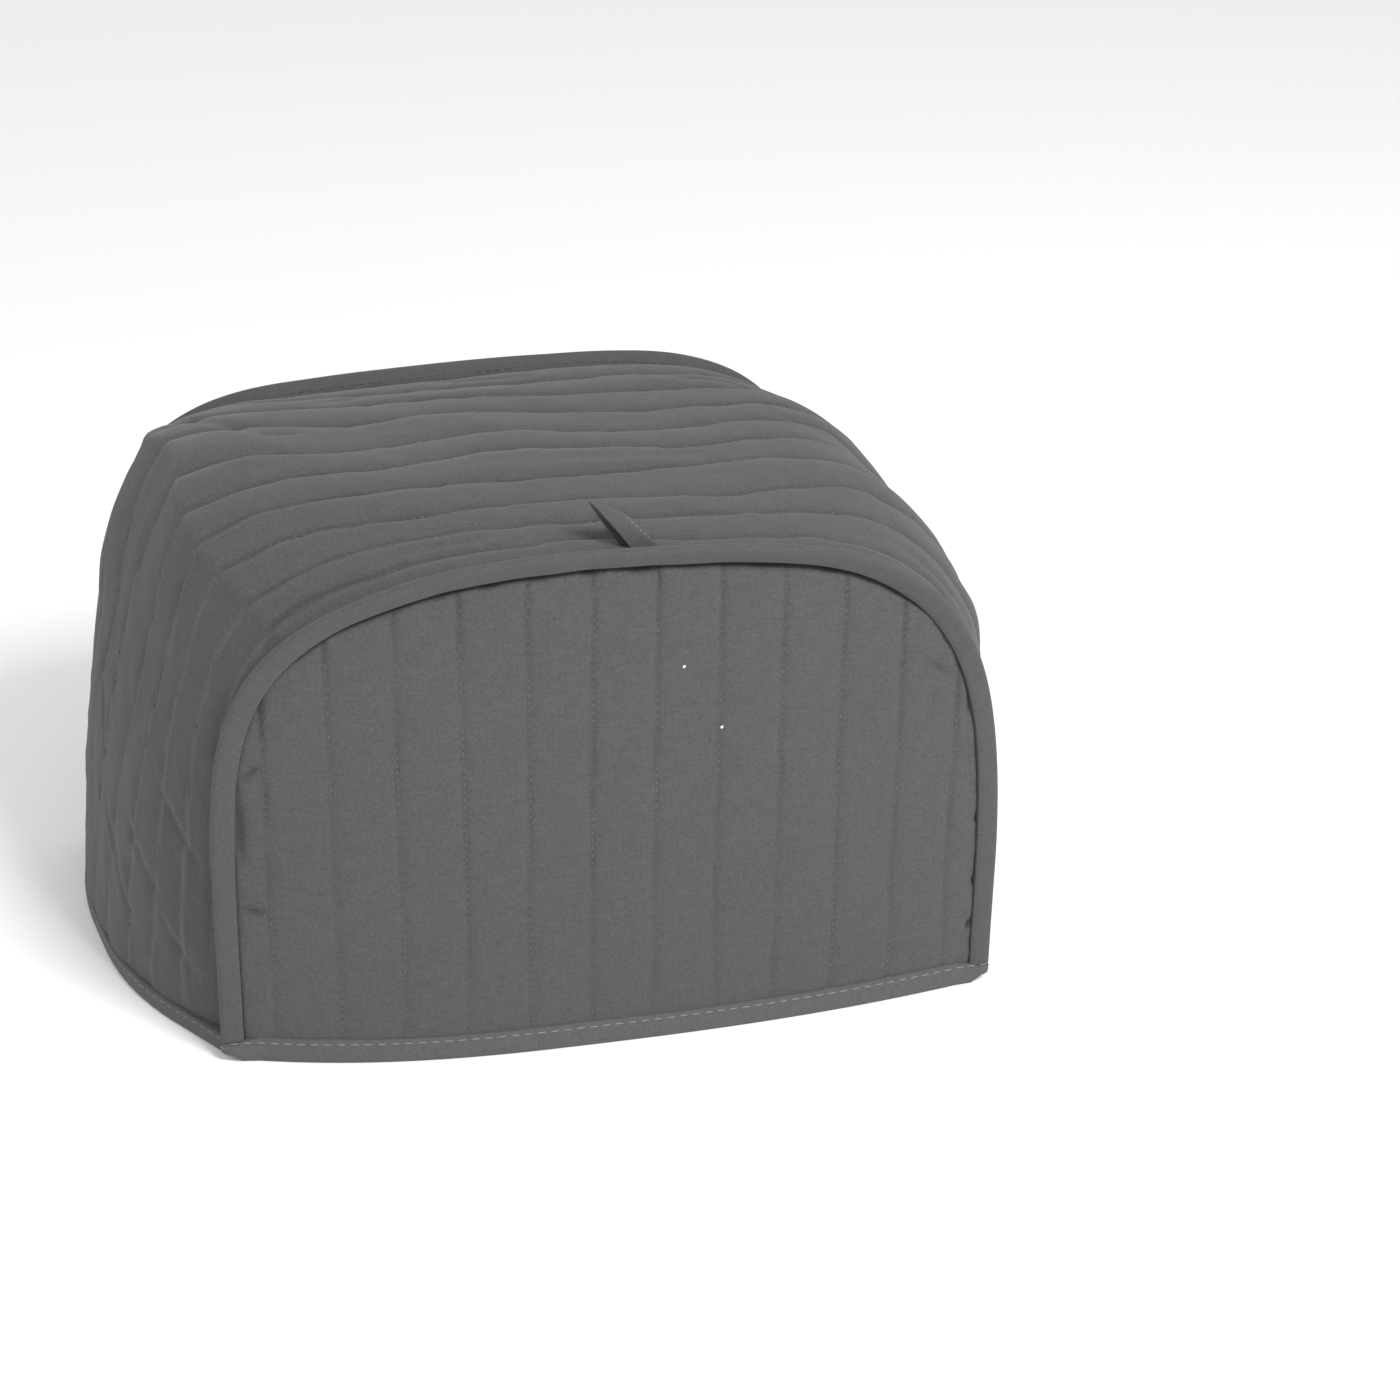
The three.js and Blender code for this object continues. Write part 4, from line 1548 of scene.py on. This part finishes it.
@dataclass
class LoopTape:
    """A short folded tape in the top of the front seam, leaning left with a slanting tip."""

    builder: Builder
    name: str = "loop_tape"
    node: str = "loop"
    foot: tuple = (3.4, -0.9, 201.7)
    left_foot: tuple = (-4.9, -1.1, 0.0)
    right_foot: tuple = (4.9, 1.1, 0.0)
    left_tip: tuple = (-18.9, 0.4, 17.4)
    right_tip: tuple = (-5.2, 3.1, 10.4)
    back_foot: tuple = (-2.4, 0.8, 0.4)
    root: float = 0.28
    tape: float = 1.1
    gap: float = 0.9
    belly: float = 1.3
    columns: int = 16
    leaf_steps: int = 20
    tip_steps: int = 8
    stitch: tuple = (1.6, 0.42, 0.4)
    stitch_pitch: float = 2.0
    stitch_inset: float = 0.90
    stitch_ends: tuple = (0.1, 0.95)
    belly_power: float = 0.85
    tip_round: float = 0.05
    edge_round: float = 0.3

    def surface(self, u: Array, climb: Array, side: Array) -> Array:
        """Points of the tape's middle.

        Args:
            u: the share across the tape, from left to right.
            climb: the share from foot to tip; below 0 it is hidden in the seam.
            side: 1 on the front leaf, -1 on the back leaf, between them round the tip.

        Returns:
            The points in the cover's own frame.
        """
        u, climb, side = u[:, None], climb[:, None], side[:, None]
        left_foot, right_foot = np.array(self.left_foot), np.array(self.right_foot)
        left_tip, right_tip = np.array(self.left_tip), np.array(self.right_tip)
        foot = left_foot * (1 - u) + right_foot * u
        tip = left_tip * (1 - u) + right_tip * u
        foot = foot + np.array(self.back_foot) * (1 - side) / 2
        facing = unit(np.cross(right_foot - left_foot, left_tip - left_foot))
        bulge = self.belly * np.sin(np.pi * np.clip(climb, 0, 1) ** self.belly_power)
        apart = side * facing * (self.gap + bulge)
        return np.array(self.foot) + foot * (1 - climb) + tip * climb + apart

    def build(self) -> bpy.types.Object:
        """Builds the loop."""
        builder = self.builder
        leaf = np.linspace(-self.root, 1.0, self.leaf_steps)
        turns = np.linspace(0, np.pi, self.tip_steps + 2)[1:-1]
        climb = np.concatenate([leaf, 1 + self.tip_round * np.sin(turns), leaf[::-1]])
        side = np.concatenate([np.ones(len(leaf)), np.cos(turns), -np.ones(len(leaf))])
        rows = len(climb) - 1
        piece = builder.grid(self.name, self.columns, rows)
        u, v = builder.shares(piece)
        j = np.round(v * rows).astype(int)
        points = self.surface(u, climb[j], side[j])
        middle = self.surface(np.full(rows + 1, 0.5), climb, side)
        width = float(np.linalg.norm(np.array(self.right_foot) - np.array(self.left_foot)))
        builder.drape(piece, points, np.stack([u * width, run_of(middle)[j]], 1))
        inner = builder.place(middle.mean(0))
        builder.face_outwards(piece, builder.faces(piece, "center") - inner)
        builder.finish_with(piece, "SOLIDIFY", thickness=self.tape / METRE, offset=0.0)
        edge = self.edge_round / METRE
        builder.finish_with(piece, "BEVEL", width=edge, segments=2, limit_method="ANGLE")
        builder.smooth(piece)
        return piece

    def sew(self) -> bpy.types.Object:
        """Builds the short row of stitches along the front leaf's right edge."""
        reach = float(np.linalg.norm(np.array(self.right_tip) - np.array(self.right_foot)))
        climb = np.arange(*self.stitch_ends, self.stitch_pitch / reach)
        u, side = np.full(len(climb), self.stitch_inset), np.ones(len(climb))
        points = self.surface(u, climb, side)
        outwards = unit(points - self.surface(u, climb, -side))
        tangents = np.gradient(points, axis=0)
        centres = points + outwards * (self.tape / 2)
        name = self.name + "_stitches"
        return self.builder.dashes(name, centres, tangents, outwards, self.stitch)


@dataclass
class Lint:
    """The two specks of white lint on the front."""

    builder: Builder
    panel: QuiltedPanel
    places: tuple = ((16.8, 157.5), (31.8, 131.0))
    speck: tuple = (1.25, 0.95, 0.5)
    lies: tuple = (0.6, 0.0, 0.8)
    out: float = 0.15

    def build(self) -> bpy.types.Object:
        """Builds both specks as one mesh."""
        x, z = np.array(self.places).T
        points, _, _ = self.panel.surface(x, z)
        outwards = np.tile([0.0, float(self.panel.face.side.value), 0.0], (len(x), 1))
        tangents = np.tile(self.lies, (len(x), 1))
        centres = points + outwards * self.out
        return self.builder.dashes("lint", centres, tangents, outwards, self.speck)


@dataclass(frozen=True)
class Lamp:
    """A square soft lamp: its place in metres, its size in metres and its strength in watts."""

    name: str
    place: tuple
    size: float
    watts: float
    target: tuple = (0.0, 0.0, 0.1)

    def hang(self) -> None:
        """Adds the lamp to the scene, turned to its target."""
        data = bpy.data.lights.new(self.name, "AREA")
        data.shape, data.size, data.energy = "SQUARE", self.size, self.watts
        lamp = bpy.data.objects.new(self.name, data)
        bpy.context.scene.collection.objects.link(lamp)
        back = unit(np.array(self.place) - np.array(self.target))
        right = unit(np.cross([0.0, 0.0, 1.0], back))
        lamp.matrix_world = standing(right, np.cross(back, right), back, np.array(self.place))


@dataclass
class Studio:
    """The plain floor, the soft light and the camera at the photograph's angle."""

    builder: Builder
    eye: tuple = (-211.5, -926.7, 600.2)
    yaw: float = 0.2512328
    pitch: float = 0.4509964
    roll: float = 0.0198065
    lens: float = 73.09
    sensor: float = 36.0
    floor_size: float = 6.0
    floor_cells: int = 4
    clip_end: float = 20.0
    world_level: float = 0.80
    lamps: tuple = (
        Lamp("key", (0.6, -1.3, 1.5), 0.5, 34.5),
        Lamp("fill", (-0.2, -2.2, 0.9), 1.2, 9.2),
    )

    def camera(self) -> None:
        """Places the camera."""
        data = bpy.data.cameras.new("view")
        data.lens, data.sensor_width = self.lens, self.sensor
        camera = bpy.data.objects.new("view", data)
        bpy.context.scene.collection.objects.link(camera)
        sin_y, cos_y = math.sin(self.yaw), math.cos(self.yaw)
        sin_p, cos_p = math.sin(self.pitch), math.cos(self.pitch)
        back = np.array([-sin_y * cos_p, -cos_y * cos_p, sin_p])
        right = np.array([cos_y, -sin_y, 0.0])
        up = np.cross(back, right)
        tilted_right = math.cos(self.roll) * right + math.sin(self.roll) * up
        tilted_up = -math.sin(self.roll) * right + math.cos(self.roll) * up
        place = self.builder.place(np.array(self.eye))
        camera.matrix_world = standing(tilted_right, tilted_up, back, place)
        data.clip_end = self.clip_end
        bpy.context.scene.camera = camera

    def floor(self) -> None:
        """Lays the floor."""
        bpy.ops.object.select_all(action="DESELECT")
        cells, size = self.floor_cells, self.floor_size
        bpy.ops.mesh.primitive_grid_add(x_subdivisions=cells, y_subdivisions=cells, size=size)
        floor = bpy.context.active_object
        floor.name = "floor"
        floor.data.materials.append(FloorFinish("pale_floor").material())
        floor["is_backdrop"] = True

    def light(self) -> None:
        """Lights the scene."""
        world = bpy.data.worlds.new("studio")
        world.use_nodes = True
        sky = world.node_tree.nodes["Background"]
        sky.inputs[0].default_value = grey(1.0)
        sky.inputs[1].default_value = self.world_level
        scene = bpy.context.scene
        scene.world = world
        scene.view_settings.view_transform = "Standard"
        for lamp in self.lamps:
            lamp.hang()


@dataclass
class ToasterCover:
    """The whole cover: builds each piece in turn, dresses it and ties it to the model."""

    builder: Builder
    wardrobe: Wardrobe = field(default_factory=Wardrobe)
    first_row: float = -137.0
    front_leans: tuple = (0.6, 0.0, 0.0)
    back_leans: tuple = (0.75, 1.0, 0.5)
    panel_seeds: tuple = (5, 55)
    tape_seeds: tuple = (71, 81)

    def wear(
        self, piece: bpy.types.Object, material: bpy.types.Material, slot: str, *nodes: str
    ) -> bpy.types.Object:
        """Gives a piece its finish and its place in the model.

        Args:
            piece: the object.
            material: its finish.
            slot: the record's material slot; not used.
            nodes: the model's nodes that it stands for.

        Returns:
            The same object.
        """
        piece.data.materials.clear()
        piece.data.materials.append(material)
        if nodes:
            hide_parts(*nodes)
        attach(piece, "root")
        LOG.info("%s: %d faces", piece.name, len(piece.data.polygons))
        return piece

    def build(self) -> None:
        """Builds all pieces."""
        form = self.builder.form
        cloth, tape = self.wardrobe.cloth, self.wardrobe.tape
        hem = HemTape(self.builder)
        hem_tape = self.wear(hem.build(), self.wardrobe.hem, TAPE_SLOT, hem.node)
        hem_stitches = self.wear(hem.sew(), self.wardrobe.topstitch, TAPE_SLOT)

        front, back = form.front_face, form.back_face
        front_row, back_row = self.first_row, self.first_row + form.back.crown
        front_seed, back_seed = self.panel_seeds
        panels = (
            QuiltedPanel(
                self.builder,
                "front_cloth",
                "front_panel",
                front,
                front_row,
                front_seed,
                creases=FRONT_CREASES,
            ),
            QuiltedPanel(self.builder, "back_cloth", "back_panel", back, back_row, back_seed),
        )
        front_set = (front, *self.front_leans, self.tape_seeds[0])
        back_set = (back, *self.back_leans, self.tape_seeds[1])
        tapes = (
            SeamTape(self.builder, "front_tape", "front_binding", *front_set),
            SeamTape(self.builder, "back_tape", "back_binding", *back_set),
        )
        for panel, seam in zip(panels, tapes):
            sheet = self.wear(panel.build(), cloth, CLOTH_SLOT, panel.node)
            quilting = self.wear(panel.sew(), self.wardrobe.quilting, CLOTH_SLOT)
            binding = self.wear(seam.build(), tape, TAPE_SLOT, seam.node)
            if panel.face.side is Side.FRONT:
                lint = Lint(self.builder, panel).build()
                self.wear(lint, self.wardrobe.lint, CLOTH_SLOT)
            else:
                self.wear(seam.sew(), self.wardrobe.seam_thread, TAPE_SLOT)
            arch = panel.face.arch
            arch.height / METRE
            arch.area() / METRE**2

        strip = Gusset(self.builder)
        gusset = self.wear(strip.build(), cloth, CLOTH_SLOT, strip.node)
        strip_quilting = self.wear(strip.sew(), self.wardrobe.quilting, CLOTH_SLOT)
        loop = LoopTape(self.builder)
        loop_tape = self.wear(loop.build(), tape, TAPE_SLOT, loop.node)
        loop_stitches = self.wear(loop.sew(), self.wardrobe.topstitch, TAPE_SLOT)
        strip.flat_width / METRE


def corners() -> list[list[float]]:
    """The box round all that shows, as plain lists."""
    return [[float(value) for value in corner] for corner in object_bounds()]


def main() -> None:
    """Builds the scene."""
    logging.basicConfig(level=logging.INFO, format="%(name)s: %(message)s")
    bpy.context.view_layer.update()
    builder = Builder()
    studio = Studio(builder)
    studio.camera()
    studio.floor()
    studio.light()
    ToasterCover(builder).build()


if __name__ == "__main__":
    main()
